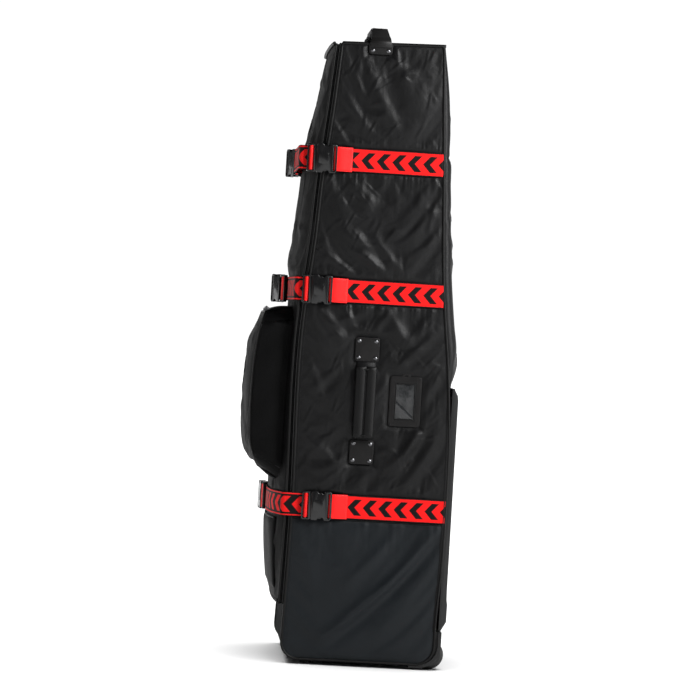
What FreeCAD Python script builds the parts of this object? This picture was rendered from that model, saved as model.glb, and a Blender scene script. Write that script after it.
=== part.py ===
"""Wheeled upright travel bag for long sports gear, as a parametric FreeCAD document.

Frame: +Z up from the floor, -Y is the front (zipped door and pocket), +Y the back (spine and
wheels), +X the side with the carry handle and the address window. Millimetres.
"""
import FreeCAD
import Part
import Sketcher
import math
import os
import re
from FreeCAD import Placement, Rotation, Vector

# ---------------------------------------------------------------- driving dimensions
SIZES = {
    # outline of the body, as depths from the Z axis and heights from the floor
    "body_width": 360, "wall": 8, "body_bottom": 11, "body_top": 1283, "top_rise": 6,
    "front_depth": 112, "bend_height": 745, "shoulder_depth": 89, "shoulder_height": 1001,
    "top_front_depth": 64, "top_back_depth": 146, "waist_depth": 172, "waist_height": 774,
    "spine_depth": 206, "spine_top": 585, "lean_depth": 196, "lean_height": 620,
    "front_round": 35, "back_round": 40, "clearance": 0.3,
    # door and its zip
    "door_bottom": 122, "door_half": 178, "door_thick": 9, "tape": 2,
    "swell_low": 200, "swell_high": 1190, "bulge_edge": 3, "bulge_low": 30, "bulge_mid": 12, "bulge_high": 20,
    # pocket on the door
    "pocket_half": 150, "pocket_top": 732, "pocket_bottom": 377, "pocket_depth": 206,
    "pocket_wall": 4, "lid_thick": 6, "lid_bulge": 9, "lid_bottom": 402, "lid_top": 722,
    "low_pocket_half": 140, "low_pocket_bottom": 150, "low_pocket_top": 298, "low_pocket_thick": 12,
    # base, spine, wheels
    "tray_thick": 4, "rim_height": 30, "rim_thick": 3, "spine_thick": 5, "rail_depth": 224,
    "rail_inner": 108, "rail_outer": 132, "rail_low": 99, "bumper_top": 137, "bumper_depth": 226,
    "wheel_y": 190, "wheel_radius": 31, "wheel_x": 152, "wheel_width": 24, "hub_radius": 19,
    "bearing_radius": 11, "bearing_width": 7, "axle_radius": 4, "running_gap": 0.04,
    "housing_inner": 132, "housing_front": 147, "housing_bottom": 4, "housing_top": 80,
    "guard": 7, "well_gap": 3, "foot_radius": 12, "foot_x": 140, "foot_y": 64,
    # straps and buckles
    "webbing": 50, "webbing_thick": 2, "level_top": 1044, "level_mid": 774, "level_low": 329,
    "mouth_top": 104, "mouth_mid": 98, "mouth_low": 73,
    "socket_long": 42, "socket_wide": 60, "socket_thick": 13.6, "shell_wall": 2.4,
    "plug_long": 20, "plug_thick": 8, "prong_long": 26, "prong_thick": 3.6,
    "far_mouth": 70, "far_tilt_top": 22, "far_tilt_mid": 22, "far_tilt_low": 5,
    "far_stand_top": 19.5, "far_stand_mid": 19.5, "far_stand_low": 15, "web_gap": 2.5, "web_bend": 70,
    "hinge_low": 106, "hinge_top": 82, "corner_low": 121, "corner_top": 104,
    # handles
    "handle_y": 24, "patch": 50, "patch_thick": 2.5, "patch_high": 656, "patch_low": 444,
    "grip_low": 472, "grip_high": 622, "grip_in": 185, "grip_out": 200, "grip_half": 22,
    "strap_half": 19, "rivet_head": 3.8, "rivet_shank": 2, "rivet_inset": 17,
    "top_y": 15, "top_grip_half": 60, "top_grip_low": 1319, "top_grip_high": 1331,
    "top_strap_half": 14, "top_patch_low": 1266, "top_patch_high": 1290, "top_patch_half": 23,
    # address window
    "id_y": 108, "id_height": 553, "id_wide": 66, "id_tall": 104, "id_hole_wide": 42, "id_hole_tall": 76,
    # sliders
    "slider_long": 18, "slider_wide": 13, "slider_thick": 5, "slider_gap": 4, "pull_long": 28,
    "pocket_slider_x": 100,
}
SIDES = ("right", "left")
LEVELS = ("top", "mid", "low")

doc = FreeCAD.newDocument("travel_bag")
sheet = doc.addObject("Spreadsheet::Sheet", "sizes")
for row, (alias, number) in enumerate(SIZES.items(), start=1):
    sheet.set(f"A{row}", alias)
    sheet.set(f"B{row}", str(number))
    sheet.setAlias(f"B{row}", alias)
doc.recompute()
PARTS = {}


def cells(text):
    """An expression in aliases, with each alias pointed at the sheet."""
    return re.sub(r"[a-z]\w*", lambda m: "sizes." + m.group(0) if m.group(0) in SIZES else m.group(0), str(text))


def value(text):
    """The number that an expression in aliases has now."""
    return float(sheet.evalExpression(cells(text)))


def part(name, item):
    """Marks item as a finished sub-part of the bag."""
    item.Label = name
    PARTS[name] = item
    return item


def bind(item, **expressions):
    for key, text in expressions.items():
        item.setExpression(key, cells(text))
    return item


def place(item, x, y, z):
    for axis, text in zip("xyz", (x, y, z)):
        item.setExpression(f".Placement.Base.{axis}", cells(text))
    return item


# ---------------------------------------------------------------- building blocks
def box(name, x, y, z):
    """A box between two expressions along each axis."""
    item = doc.addObject("Part::Box", name)
    bind(item, Length=f"({x[1]}) - ({x[0]})", Width=f"({y[1]}) - ({y[0]})", Height=f"({z[1]}) - ({z[0]})")
    return place(item, x[0], y[0], z[0])


def rod(name, radius, x, y, z):
    """A cylinder along X between two expressions, on the axis at y, z."""
    item = doc.addObject("Part::Cylinder", name)
    item.Placement = Placement(Vector(0, 0, 0), Rotation(Vector(0, 1, 0), 90))
    bind(item, Radius=radius, Height=f"({x[1]}) - ({x[0]})")
    return place(item, x[0], y, z)


def post(name, radius, x, y, z):
    """A cylinder along Z between two expressions."""
    item = doc.addObject("Part::Cylinder", name)
    bind(item, Radius=radius, Height=f"({z[1]}) - ({z[0]})")
    return place(item, x, y, z[0])


def cut(name, base, *tools):
    for number, tool in enumerate(tools):
        item = doc.addObject("Part::Cut", f"{name}_cut{number}")
        item.Base, item.Tool = base, tool
        base = item
    return base


def common(name, base, tool):
    item = doc.addObject("Part::Common", f"{name}_common")
    item.Base, item.Tool = base, tool
    return item


def fuse(name, *items):
    item = doc.addObject("Part::MultiFuse", f"{name}_fuse")
    item.Shapes = list(items)
    item.Refine = True
    return item


def group(name, *items):
    """Separate solids that share one node."""
    item = doc.addObject("Part::Compound", f"{name}_group")
    item.Links = list(items)
    return item


def mirrored(name, source):
    """The same piece on the other side of the bag's middle plane."""
    item = doc.addObject("Part::Mirroring", f"{name}_mirror")
    item.Source = source
    item.Normal = Vector(1, 0, 0)
    return item


def outline_sketch(body, role, points, offset):
    """A closed outline on one of the body's origin planes, each corner held to the sheet."""
    sketch = body.newObject("Sketcher::SketchObject", f"{body.Name}_outline")
    plane = next(f for f in body.Origin.OriginFeatures if f.Role == role)
    sketch.AttachmentSupport = [(plane, "")]
    sketch.MapMode = "FlatFace"
    sketch.setExpression(".AttachmentOffset.Base.z", cells(offset))
    corners = [(value(u), value(v)) for u, v in points]
    count = len(corners)
    for i, (u, v) in enumerate(corners):
        after = corners[(i + 1) % count]
        sketch.addGeometry(Part.LineSegment(Vector(u, v, 0), Vector(*after, 0)))
    for i in range(count):
        sketch.addConstraint(Sketcher.Constraint("Coincident", i, 2, (i + 1) % count, 1))
    for i, (point, corner) in enumerate(zip(points, corners)):
        for kind, text, number in zip(("DistanceX", "DistanceY"), point, corner):
            held = sketch.addConstraint(Sketcher.Constraint(kind, -1, 1, i, 1, number))
            sketch.setExpression(f"Constraints[{held}]", cells(text))
    return sketch


def prism(name, role, points, start, length, rounds=()):
    """A padded outline. rounds lists (u, v, radius) for the corners that are rounded."""
    body = doc.addObject("PartDesign::Body", name)
    sketch = outline_sketch(body, role, points, start)
    pad = body.newObject("PartDesign::Pad", f"{name}_pad")
    pad.Profile = sketch
    bind(pad, Length=length)
    doc.recompute()
    along = {"YZ_Plane": Vector(1, 0, 0), "XZ_Plane": Vector(0, -1, 0), "XY_Plane": Vector(0, 0, 1)}[role]
    feature = pad
    for u, v, radius in rounds:
        found = []
        for number, edge in enumerate(feature.Shape.Edges, start=1):
            a, b = edge.Vertexes[0].Point, edge.Vertexes[-1].Point
            here = (a.y, a.z) if role == "YZ_Plane" else (a.x, a.z) if role == "XZ_Plane" else (a.x, a.y)
            straight = (b - a).Length > 1e-6 and abs(abs((b - a).normalize() * along) - 1) < 1e-6
            if straight and abs(here[0] - value(u)) < 0.01 and abs(here[1] - value(v)) < 0.01:
                found.append(f"Edge{number}")
        fillet = body.newObject("PartDesign::Fillet", f"{name}_round")
        fillet.Base = (feature, found)
        bind(fillet, Radius=radius)
        doc.recompute()
        feature = fillet
    body.Tip = feature
    return body


def turned(name, points, x, y, z):
    """An outline (along the axis, radius) turned about an axis along X through x, y, z."""
    body = doc.addObject("PartDesign::Body", name)
    sketch = outline_sketch(body, "XY_Plane", points, "0")
    turn = body.newObject("PartDesign::Revolution", f"{name}_turn")
    turn.Profile = sketch
    turn.ReferenceAxis = (sketch, ["H_Axis"])
    turn.Angle = 360
    return place(body, x, y, z)


# ---------------------------------------------------------------- padded panels
HALF = "body_width / 2"
INNER = "body_width / 2 - wall"
SIDE_OUTLINE = [
    ("-front_depth", "body_bottom"), ("-front_depth", "bend_height"),
    ("-shoulder_depth", "shoulder_height"), ("-top_front_depth", "body_top"),
    ("top_back_depth", "body_top + top_rise"), ("waist_depth", "waist_height"),
    ("lean_depth", "lean_height"), ("spine_depth", "lean_height - 60"), ("spine_depth", "body_bottom"),
]


def panels():
    right = prism("side_right", "YZ_Plane", SIDE_OUTLINE, INNER, "wall",
                  [("-front_depth", "body_bottom", "front_round"), ("spine_depth", "body_bottom", "back_round")])
    part("side_panel_right", right)
    part("side_panel_left", mirrored("side_panel_left", right))
    back = [
        ("top_back_depth", "body_top - 5"), ("waist_depth", "waist_height"), ("lean_depth", "lean_height"),
        ("spine_depth", "lean_height - 60"), ("spine_depth", "housing_top + 4"),
        ("spine_depth - wall", "housing_top + 4"), ("spine_depth - wall", "lean_height - 60"),
        ("lean_depth - wall", "lean_height"), ("waist_depth - wall", "waist_height"),
        ("top_back_depth - wall", "body_top - 5"),
    ]
    low_back = box("low_back", ("-housing_inner + 1", "housing_inner - 1"), ("spine_depth - wall", "spine_depth"),
                   ("body_bottom + tray_thick", "housing_top + 4"))
    upper_back = prism("upper_back", "YZ_Plane", back, f"-({INNER})", "body_width - 2 * wall")
    part("back_panel", fuse("back_panel", upper_back, low_back))
    top = [
        ("-top_front_depth", "body_top - wall"), ("-top_front_depth", "body_top"),
        ("top_back_depth", "body_top + top_rise"), ("top_back_depth", "body_top - 5"),
        ("top_back_depth - wall", "body_top - 5"),
    ]
    part("top_panel", prism("top", "YZ_Plane", top, f"-({INNER})", "body_width - 2 * wall"))
    part("lower_front_panel", box("lower_front", (f"-({INNER})", INNER), ("-front_depth", "wall - front_depth"),
                                  ("body_bottom + tray_thick", "door_bottom - 4")))


# ---------------------------------------------------------------- base, spine and wheels
def base():
    floor = ("body_bottom", "body_bottom + tray_thick")
    rim = ("body_bottom + tray_thick", "body_bottom + tray_thick + rim_height")
    plate = box("tray_floor", (f"-({INNER} - clearance)", f"{INNER} - clearance"),
                ("wall - front_depth", "spine_depth - wall"), floor)
    front_rim = box("rim_front", (f"-({INNER} - 1)", f"{INNER} - 1"),
                    ("wall - front_depth", "wall - front_depth + rim_thick"), rim)
    side_rims = [box(f"rim_{side}", span, ("wall - front_depth", "housing_front - 4"), rim) for side, span in (
        ("right", (f"{INNER} - clearance - rim_thick", f"{INNER} - clearance")),
        ("left", (f"-({INNER} - clearance)", f"rim_thick - ({INNER} - clearance)")))]
    notches = [box(f"notch_{side}", span, ("housing_front - 2", "spine_depth + 1"), ("body_bottom - 1", "body_bottom + 9"))
               for side, span in (("right", ("housing_inner - 2", "body_width / 2")),
                                  ("left", ("-body_width / 2", "2 - housing_inner")))]
    part("base_tray", cut("base_tray", fuse("tray", plate, front_rim, *side_rims), *notches))
    feet = [post(f"foot_{side}", "foot_radius", f"{sign}foot_x", "-foot_y", ("0", "body_bottom"))
            for side, sign in (("right", ""), ("left", "-"))]
    part("front_feet", group("front_feet", *feet))


def spine():
    y = ("spine_depth + clearance", "spine_depth + clearance + spine_thick")
    wide = box("spine_wide", (f"-({HALF} - 4)", f"{HALF} - 4"), y, ("housing_top + 4", "spine_top"))
    narrow = box("spine_narrow", ("3 - housing_inner", "housing_inner - 3"), y, ("body_bottom + 10", "housing_top + 4"))
    part("spine_shell", fuse("spine_shell", wide, narrow))
    back = "spine_depth + clearance + spine_thick"
    rail = [
        (back, "rail_low - 12"), ("bumper_depth", "rail_low"), ("bumper_depth", "bumper_top"),
        ("rail_depth", "bumper_top + 4"), ("rail_depth", "spine_top - 14"), (back, "spine_top - 2"),
    ]
    right = prism("rail_right", "YZ_Plane", rail, "rail_inner", "rail_outer - rail_inner")
    part("skid_rails", group("skid_rails", right, mirrored("rail_left", right)))


def housing():
    """The wheel's bracket: two cheeks round a well, and a guard that wraps the bag's corner."""
    top, low = "housing_top", "housing_bottom"
    outer_y = "spine_depth + guard"
    block = [("housing_front", low), (outer_y, low), (outer_y, top), ("housing_front", top)]
    solid = prism("housing_block", "YZ_Plane", block, "housing_inner", "body_width / 2 - housing_inner",
                  [(outer_y, low, "back_round + guard")])
    gap_y, gap_z = "spine_depth + clearance", "body_bottom - clearance"
    panel = [("housing_front - 9", gap_z), (gap_y, gap_z), (gap_y, "housing_top + 9"),
             ("housing_front - 9", "housing_top + 9")]
    room = prism("panel_room", "YZ_Plane", panel, f"{INNER} - clearance", "wall + 9",
                 [(gap_y, gap_z, "back_round + clearance")])
    well = rod("wheel_well", "wheel_radius + well_gap", ("housing_inner + 6", f"{INNER} - 6"), "wheel_y", "wheel_radius")
    bore = rod("axle_bore", "axle_radius + running_gap", ("housing_inner - 1", HALF), "wheel_y", "wheel_radius")
    right = cut("wheel_housing", solid, room, well, bore)
    part("wheel_housing_right", right)
    part("wheel_housing_left", mirrored("wheel_housing_left", right))


def wheels():
    face = "wheel_width / 2"
    tyre = [
        (f"-({face})", "hub_radius"), (f"-({face})", "wheel_radius - 7"), ("-wheel_width * 0.36", "wheel_radius - 2"),
        ("-wheel_width * 0.16", "wheel_radius"), ("wheel_width * 0.16", "wheel_radius"),
        ("wheel_width * 0.36", "wheel_radius - 2"), (face, "wheel_radius - 7"), (face, "hub_radius"),
    ]
    hub = [
        (f"-({face})", "bearing_radius"), (f"-({face})", "hub_radius"), (face, "hub_radius"), (face, "bearing_radius"),
        (f"{face} - bearing_width", "bearing_radius"), (f"{face} - bearing_width", "bearing_radius - 2"),
        (f"bearing_width - {face}", "bearing_radius - 2"), (f"bearing_width - {face}", "bearing_radius"),
    ]
    axis = ("wheel_x", "wheel_y", "wheel_radius")
    rings = []
    for number, start in enumerate((f"wheel_x - {face}", f"wheel_x + {face} - bearing_width")):
        span = (start, f"{start} + bearing_width")
        ring = rod(f"bearing_ring{number}", "bearing_radius", span, "wheel_y", "wheel_radius")
        hole = rod(f"bearing_hole{number}", "axle_radius", span, "wheel_y", "wheel_radius")
        rings.append(cut(f"bearing{number}", ring, hole))
    made = {"wheel_tyre": turned("tyre", tyre, *axis), "wheel_hub": turned("hub", hub, *axis),
            "wheel_bearings": group("bearings", *rings)}
    for name, right in made.items():
        part(f"{name}_right", right)
        part(f"{name}_left", mirrored(f"{name}_left", right))
    shank = rod("axle_shank", "axle_radius - running_gap", ("housing_inner - 3", f"{INNER} - 1"), "wheel_y", "wheel_radius")
    head = rod("axle_head", "axle_radius * 1.7", ("housing_inner - 6", "housing_inner - 0.2"), "wheel_y", "wheel_radius")
    bolt = fuse("axle", shank, head)
    part("axle_bolts", group("axle_bolts", bolt, mirrored("axle_left", bolt)))


# ---------------------------------------------------------------- zip and door
def zips():
    points = [("-front_depth", "door_bottom + 3"), ("-front_depth", "bend_height"),
              ("-shoulder_depth", "shoulder_height"), ("-top_front_depth", "body_top")]
    front = [(f"{y} - tape", z) for y, z in points]
    band = points + front[::-1]
    leg = prism("tape_leg", "YZ_Plane", band, INNER, "wall")
    bridge = box("tape_bridge", (f"-({INNER})", INNER), ("-top_front_depth - tape", "-top_front_depth"),
                 ("body_top - wall", "body_top"))
    part("main_zip_tape", fuse("main_zip_tape", leg, mirrored("tape_leg_left", leg), bridge))
    gap = "tape + clearance"
    inner = [(f"{y} - ({gap})", z) for y, z in points]
    outer = [(f"{y} - ({gap}) - tape", z) for y, z in points]
    door_leg = prism("door_tape_leg", "YZ_Plane", inner + outer[::-1], f"{INNER} - 1", "wall - 1")
    door_bridge = box("door_bridge", (f"-({INNER} - 1)", f"{INNER} - 1"),
                      (f"-top_front_depth - ({gap}) - tape", f"-top_front_depth - ({gap})"),
                      ("body_top - wall + 1", "body_top"))
    part("door_zip_tape", fuse("door_zip_tape", door_leg, mirrored("door_tape_left", door_leg), door_bridge))


def face_depth(height):
    """Depth of the zip's front face at a height, along the body's bent front edge."""
    knees = [(value("door_bottom"), value("front_depth")), (value("bend_height"), value("front_depth")),
             (value("shoulder_height"), value("shoulder_depth")), (value("body_top"), value("top_front_depth"))]
    for (z0, y0), (z1, y1) in zip(knees, knees[1:]):
        if height <= z1:
            return y0 + (y1 - y0) * (height - z0) / (z1 - z0)
    return knees[-1][1]


SWELLS = [("door_bottom", "bulge_edge"), ("swell_low", "bulge_low"), ("level_low", "bulge_low"),
          ("bend_height", "bulge_mid"), ("level_mid", "bulge_mid"), ("shoulder_height", "bulge_high"),
          ("swell_high", "bulge_high"), ("body_top - 1", "bulge_edge")]


def swell(height):
    """How far the door's middle stands forward of its edges at a height."""
    knees = [(value(z), value(out)) for z, out in SWELLS]
    for (z0, out0), (z1, out1) in zip(knees, knees[1:]):
        if height <= z1:
            return out0 + (out1 - out0) * (height - z0) / (z1 - z0)
    return knees[-1][1]


def swollen(back, front):
    """The door's swollen shape, between two distances forward of the zip's face."""
    half = value("door_half")
    rings = []
    for text, _ in SWELLS:
        z = value(text)
        near, far, out = -face_depth(z) - back, -face_depth(z) - front, swell(z)
        inner = Part.Arc(Vector(half, near, z), Vector(0, near - out, z), Vector(-half, near, z)).toShape()
        outer = Part.Arc(Vector(-half, far, z), Vector(0, far - out, z), Vector(half, far, z)).toShape()
        ends = [Part.makeLine(Vector(-half, near, z), Vector(-half, far, z)),
                Part.makeLine(Vector(half, far, z), Vector(half, near, z))]
        rings.append(Part.Wire([inner, ends[0], outer, ends[1]]))
    return Part.makeLoft(rings, True, True)


def door():
    """A padded flap that swells forward, and the room it takes up from what is sewn to it."""
    stand = value("2 * tape + 2 * clearance")
    thick, gap = value("door_thick"), value("clearance")
    item = doc.addObject("Part::Feature", "door")
    item.Shape = swollen(stand, stand + thick)
    part("door_panel", item)
    room = doc.addObject("Part::Feature", "door_room")
    room.Shape = swollen(-60, stand + thick + gap)
    return room


def pocket(room):
    """The deep front pocket: a gusset on the door, and a lid hinged at its lower edge."""
    side = [
        ("-front_depth - 8", "pocket_top"), ("-front_depth - 35", "pocket_top"), ("-pocket_depth + 20", "lid_top"),
        ("-pocket_depth + 5", "lid_top - 72"), ("-pocket_depth", "lid_top - 147"),
        ("-pocket_depth", "lid_bottom + 98"), ("-pocket_depth + 5", "lid_bottom + 38"),
        ("-pocket_depth + 24", "lid_bottom"), ("-front_depth - 30", "pocket_bottom"), ("-front_depth - 8", "pocket_bottom"),
    ]
    block = prism("pocket_block", "YZ_Plane", side, "-pocket_half", "2 * pocket_half")
    inside = [
        ("-front_depth", "pocket_top - pocket_wall"), ("-front_depth - 35", "pocket_top - pocket_wall"),
        ("-pocket_depth + 20", "lid_top - pocket_wall"), ("-pocket_depth - 20", "lid_top - pocket_wall"),
        ("-pocket_depth - 20", "lid_bottom + pocket_wall"), ("-pocket_depth + 26", "lid_bottom + pocket_wall"),
        ("-front_depth - 30", "pocket_bottom + pocket_wall"), ("-front_depth", "pocket_bottom + pocket_wall"),
    ]
    hollow = prism("pocket_hollow", "YZ_Plane", inside, "pocket_wall - pocket_half", "2 * (pocket_half - pocket_wall)")
    part("pocket_shell", cut("pocket_shell", block, hollow, room))
    front = side[2:8]
    inner = [(f"{y} - clearance", z) for y, z in front]
    outer = [(f"{y} - clearance - lid_thick - {bulge}", z)
             for (y, z), bulge in zip(front, ("0", "lid_bulge - 2", "lid_bulge", "lid_bulge", "lid_bulge - 3", "0"))]
    part("pocket_lid", prism("lid", "YZ_Plane", inner + outer[::-1], "-pocket_half", "2 * pocket_half"))
    skin = doc.addObject("Part::Feature", "low_pocket_skin")
    skin.Shape = swollen(0, value("2 * tape + 2 * clearance + door_thick + low_pocket_thick"))
    keep = box("low_span", ("-low_pocket_half", "low_pocket_half"), ("-pocket_depth", "-front_depth"),
               ("low_pocket_bottom", "low_pocket_top"))
    part("lower_pocket", cut("lower_pocket", common("lower_pocket", skin, keep), room))


def sliders():
    """Zip sliders with their pulls. Each pull turns on the loop on its slider's back."""
    y = ("-top_front_depth - 12", "-top_front_depth + 1")
    z = ("body_top + clearance", "body_top + clearance + slider_thick")
    x = ("slider_gap", "slider_gap + slider_long")
    build_slider("main_zip_slider_right", "main_zip_pull_right", x, y, z)
    for name in ("main_zip_slider", "main_zip_pull"):
        part(f"{name}_left", mirrored(f"{name}_left", PARTS[f"{name}_right"]))
    x = ("pocket_slider_x", "pocket_slider_x + slider_long")
    y = ("-pocket_depth + 13", "-pocket_depth + 26")
    z = ("lid_top + 2.5", "lid_top + 2.5 + slider_thick")
    build_slider("pocket_zip_slider", "pocket_zip_pull", x, y, z)


def build_slider(slider_name, pull_name, x, y, z):
    middle = f"(({y[0]}) + ({y[1]})) / 2"
    body = box(f"{slider_name}_body", x, y, z)
    loop = box(f"{slider_name}_loop", (f"{x[0]} + 5.5", f"{x[0]} + 12.5"), (f"{middle} - 2", f"{middle} + 2"),
               (z[1], f"{z[1]} + 4.5"))
    eye = box(f"{slider_name}_eye", (f"{x[0]} + 7.5", f"{x[0]} + 10.5"), (f"{middle} - 3", f"{middle} + 3"),
              (z[1], f"{z[1]} + 3"))
    part(slider_name, cut(slider_name, fuse(slider_name, body, loop), eye))
    flat = (f"{z[1]} + 0.5", f"{z[1]} + 2.5")
    bar = box(f"{pull_name}_bar", (f"{x[0]} + 8", f"{x[0]} + 10"), (f"{middle} - 5", f"{middle} + 5"), flat)
    arms = [box(f"{pull_name}_arm{i}", (f"{x[0]} + 8", f"{x[0]} + 16"), span, flat)
            for i, span in enumerate(((f"{middle} - 5", f"{middle} - 2.6"), (f"{middle} + 2.6", f"{middle} + 5")))]
    tab = box(f"{pull_name}_tab", (f"{x[0]} + 14", f"{x[0]} + 8 + pull_long"), (f"{middle} - 5", f"{middle} + 5"), flat)
    part(pull_name, fuse(pull_name, bar, *arms, tab))


# ---------------------------------------------------------------- straps and buckles
def socket(name):
    """The buckle's hollow half. Its mouth is at the origin and faces -Y, its outer face is at X = 0."""
    outer = box(f"{name}_outer", ("-socket_thick", "0"), ("0", "socket_long"), ("-socket_wide / 2", "socket_wide / 2"))
    across = ("shell_wall - socket_thick", "-shell_wall")
    cavity = box(f"{name}_cavity", across, ("-1", "socket_long - 11"),
                 ("shell_wall - socket_wide / 2", "socket_wide / 2 - shell_wall"))
    windows = box(f"{name}_windows", across, ("12", "28"), ("-socket_wide", "socket_wide"))
    slot = box(f"{name}_slot", ("-socket_thick - 1", "1"), ("socket_long - 8", "socket_long - 4"),
               ("-webbing / 2 - 1", "webbing / 2 + 1"))
    return cut(name, outer, cavity, windows, slot)


def plug(name):
    """The buckle's pronged half, in the socket's frame, with two bars that grip the webbing."""
    base_x = ("-(socket_thick + plug_thick) / 2", "(plug_thick - socket_thick) / 2")
    prong_x = ("-(socket_thick + prong_thick) / 2", "(prong_thick - socket_thick) / 2")
    base = box(f"{name}_base", base_x, ("-plug_long - clearance", "-clearance"),
               ("1 - socket_wide / 2", "socket_wide / 2 - 1"))
    slots = [box(f"{name}_slot{i}", ("-socket_thick - 1", "1"), (f"{start} - plug_long", f"{start} + 4 - plug_long"),
                 ("-webbing / 2 - 1", "webbing / 2 + 1")) for i, start in enumerate((3, 10))]
    prongs = [box(f"{name}_prong{i}", prong_x, ("-clearance - 1", "prong_long"), span)
              for i, span in enumerate((("socket_wide / 2 - 11", "socket_wide / 2 - 4"), ("-3", "3"),
                                        ("4 - socket_wide / 2", "11 - socket_wide / 2")))]
    return fuse(name, cut(f"{name}_ladder", base, *slots), *prongs)


def strap(level):
    """One compression strap: sewn to both sides, with a buckle at the side and one at the front."""
    height = f"level_{level}"
    span = (f"{height} - webbing / 2", f"{height} + webbing / 2")
    mouth = f"mouth_{level}"
    bulge = swell(value(height))
    front = face_depth(value(span[0])) + value("2 * tape + 2 * clearance + door_thick") + bulge
    back_end = {"top": "top_back_depth + 4", "mid": "waist_depth - 4", "low": "spine_depth - 8"}[level]
    hinge, corner = ("hinge_top", "corner_top") if level == "top" else ("hinge_low", "corner_low")

    for side, place_x, start in (("right", HALF, f"socket_long - {mouth}"),
                                 ("left", f"-({HALF}) - webbing_thick", f"-{hinge}")):
        part(f"side_webbing_{level}_{side}", box(f"side_{level}_{side}", (place_x, f"{place_x} + webbing_thick"),
                                                 (start, back_end), span))
    for kind, make in (("buckle_socket", socket), ("buckle_plug", plug)):
        near = make(f"{kind}_{level}_near")
        part(f"{kind}_{level}_right", place(near, f"{HALF} + clearance + socket_thick", f"-{mouth}", height))
        far = make(f"{kind}_{level}_far")
        turn = Rotation(Vector(0, 0, 1), 270 + value(f"far_tilt_{level}")).multiply(Rotation(Vector(1, 0, 0), 180))
        far.Placement = Placement(Vector(0, 0, 0), turn)
        part(f"{kind}_{level}_left", place(far, "-far_mouth", f"-{front} - far_stand_{level}", height))

    def run(name, points):
        """Webbing along a path given as (x, y) on its inner face and (x, y) on its outer face."""
        inside, outside = zip(*points)
        return prism(name, "XY_Plane", list(inside) + list(outside)[::-1], span[0], "webbing")

    def bend(x, depth, out_x, out_y):
        return (x, f"-({depth})"), (f"{x} + ({out_x})", f"-({depth}) - ({out_y})")

    t = "webbing_thick"
    near_corner = f"{max(value(mouth + ' + plug_long + 6'), front - bulge + 4)}"
    first = [bend(f"{HALF} + 4", f"{mouth} + plug_long + 2 * clearance", t, "0"),
             bend(f"{HALF} + 4", near_corner, t, t),
             bend("web_bend", f"{front} + web_gap - {bulge} * (web_bend / door_half) ^ 2", "0", t),
             bend("-far_mouth / 3", f"{front} + web_gap", "0", t),
             bend("5 + plug_long - far_mouth", f"{front} + web_gap + 1", "0", t)]
    lean = math.radians(value(f"far_tilt_{level}"))
    second = [bend(f"-far_mouth - socket_long * {math.cos(lean)} - socket_thick * {math.sin(lean)} - 2",
                   f"{front} + far_stand_{level} + socket_long * {math.sin(lean)} - socket_thick / 2", "0", t),
              bend(f"-({HALF}) - 6", f"{front - bulge} + 6", f"-{t}", t),
              bend(f"-({HALF}) - 6", corner, f"-{t}", "0")]
    part(f"front_webbing_{level}", group(f"front_webbing_{level}", run(f"front_{level}_near", first),
                                         run(f"front_{level}_far", second)))


def straps():
    for level in LEVELS:
        strap(level)


# ---------------------------------------------------------------- handles and address window
def rivet(name, x, y, z):
    """A domed rivet, as a head and its shank through a patch."""
    shank = rod(f"{name}_shank", "rivet_shank", (f"{x} - patch_thick", f"{x} + 0.5"), y, z)
    head = rod(f"{name}_head", "rivet_head", (x, f"{x} + 1.8"), y, z)
    return fuse(name, shank, head)


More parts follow.
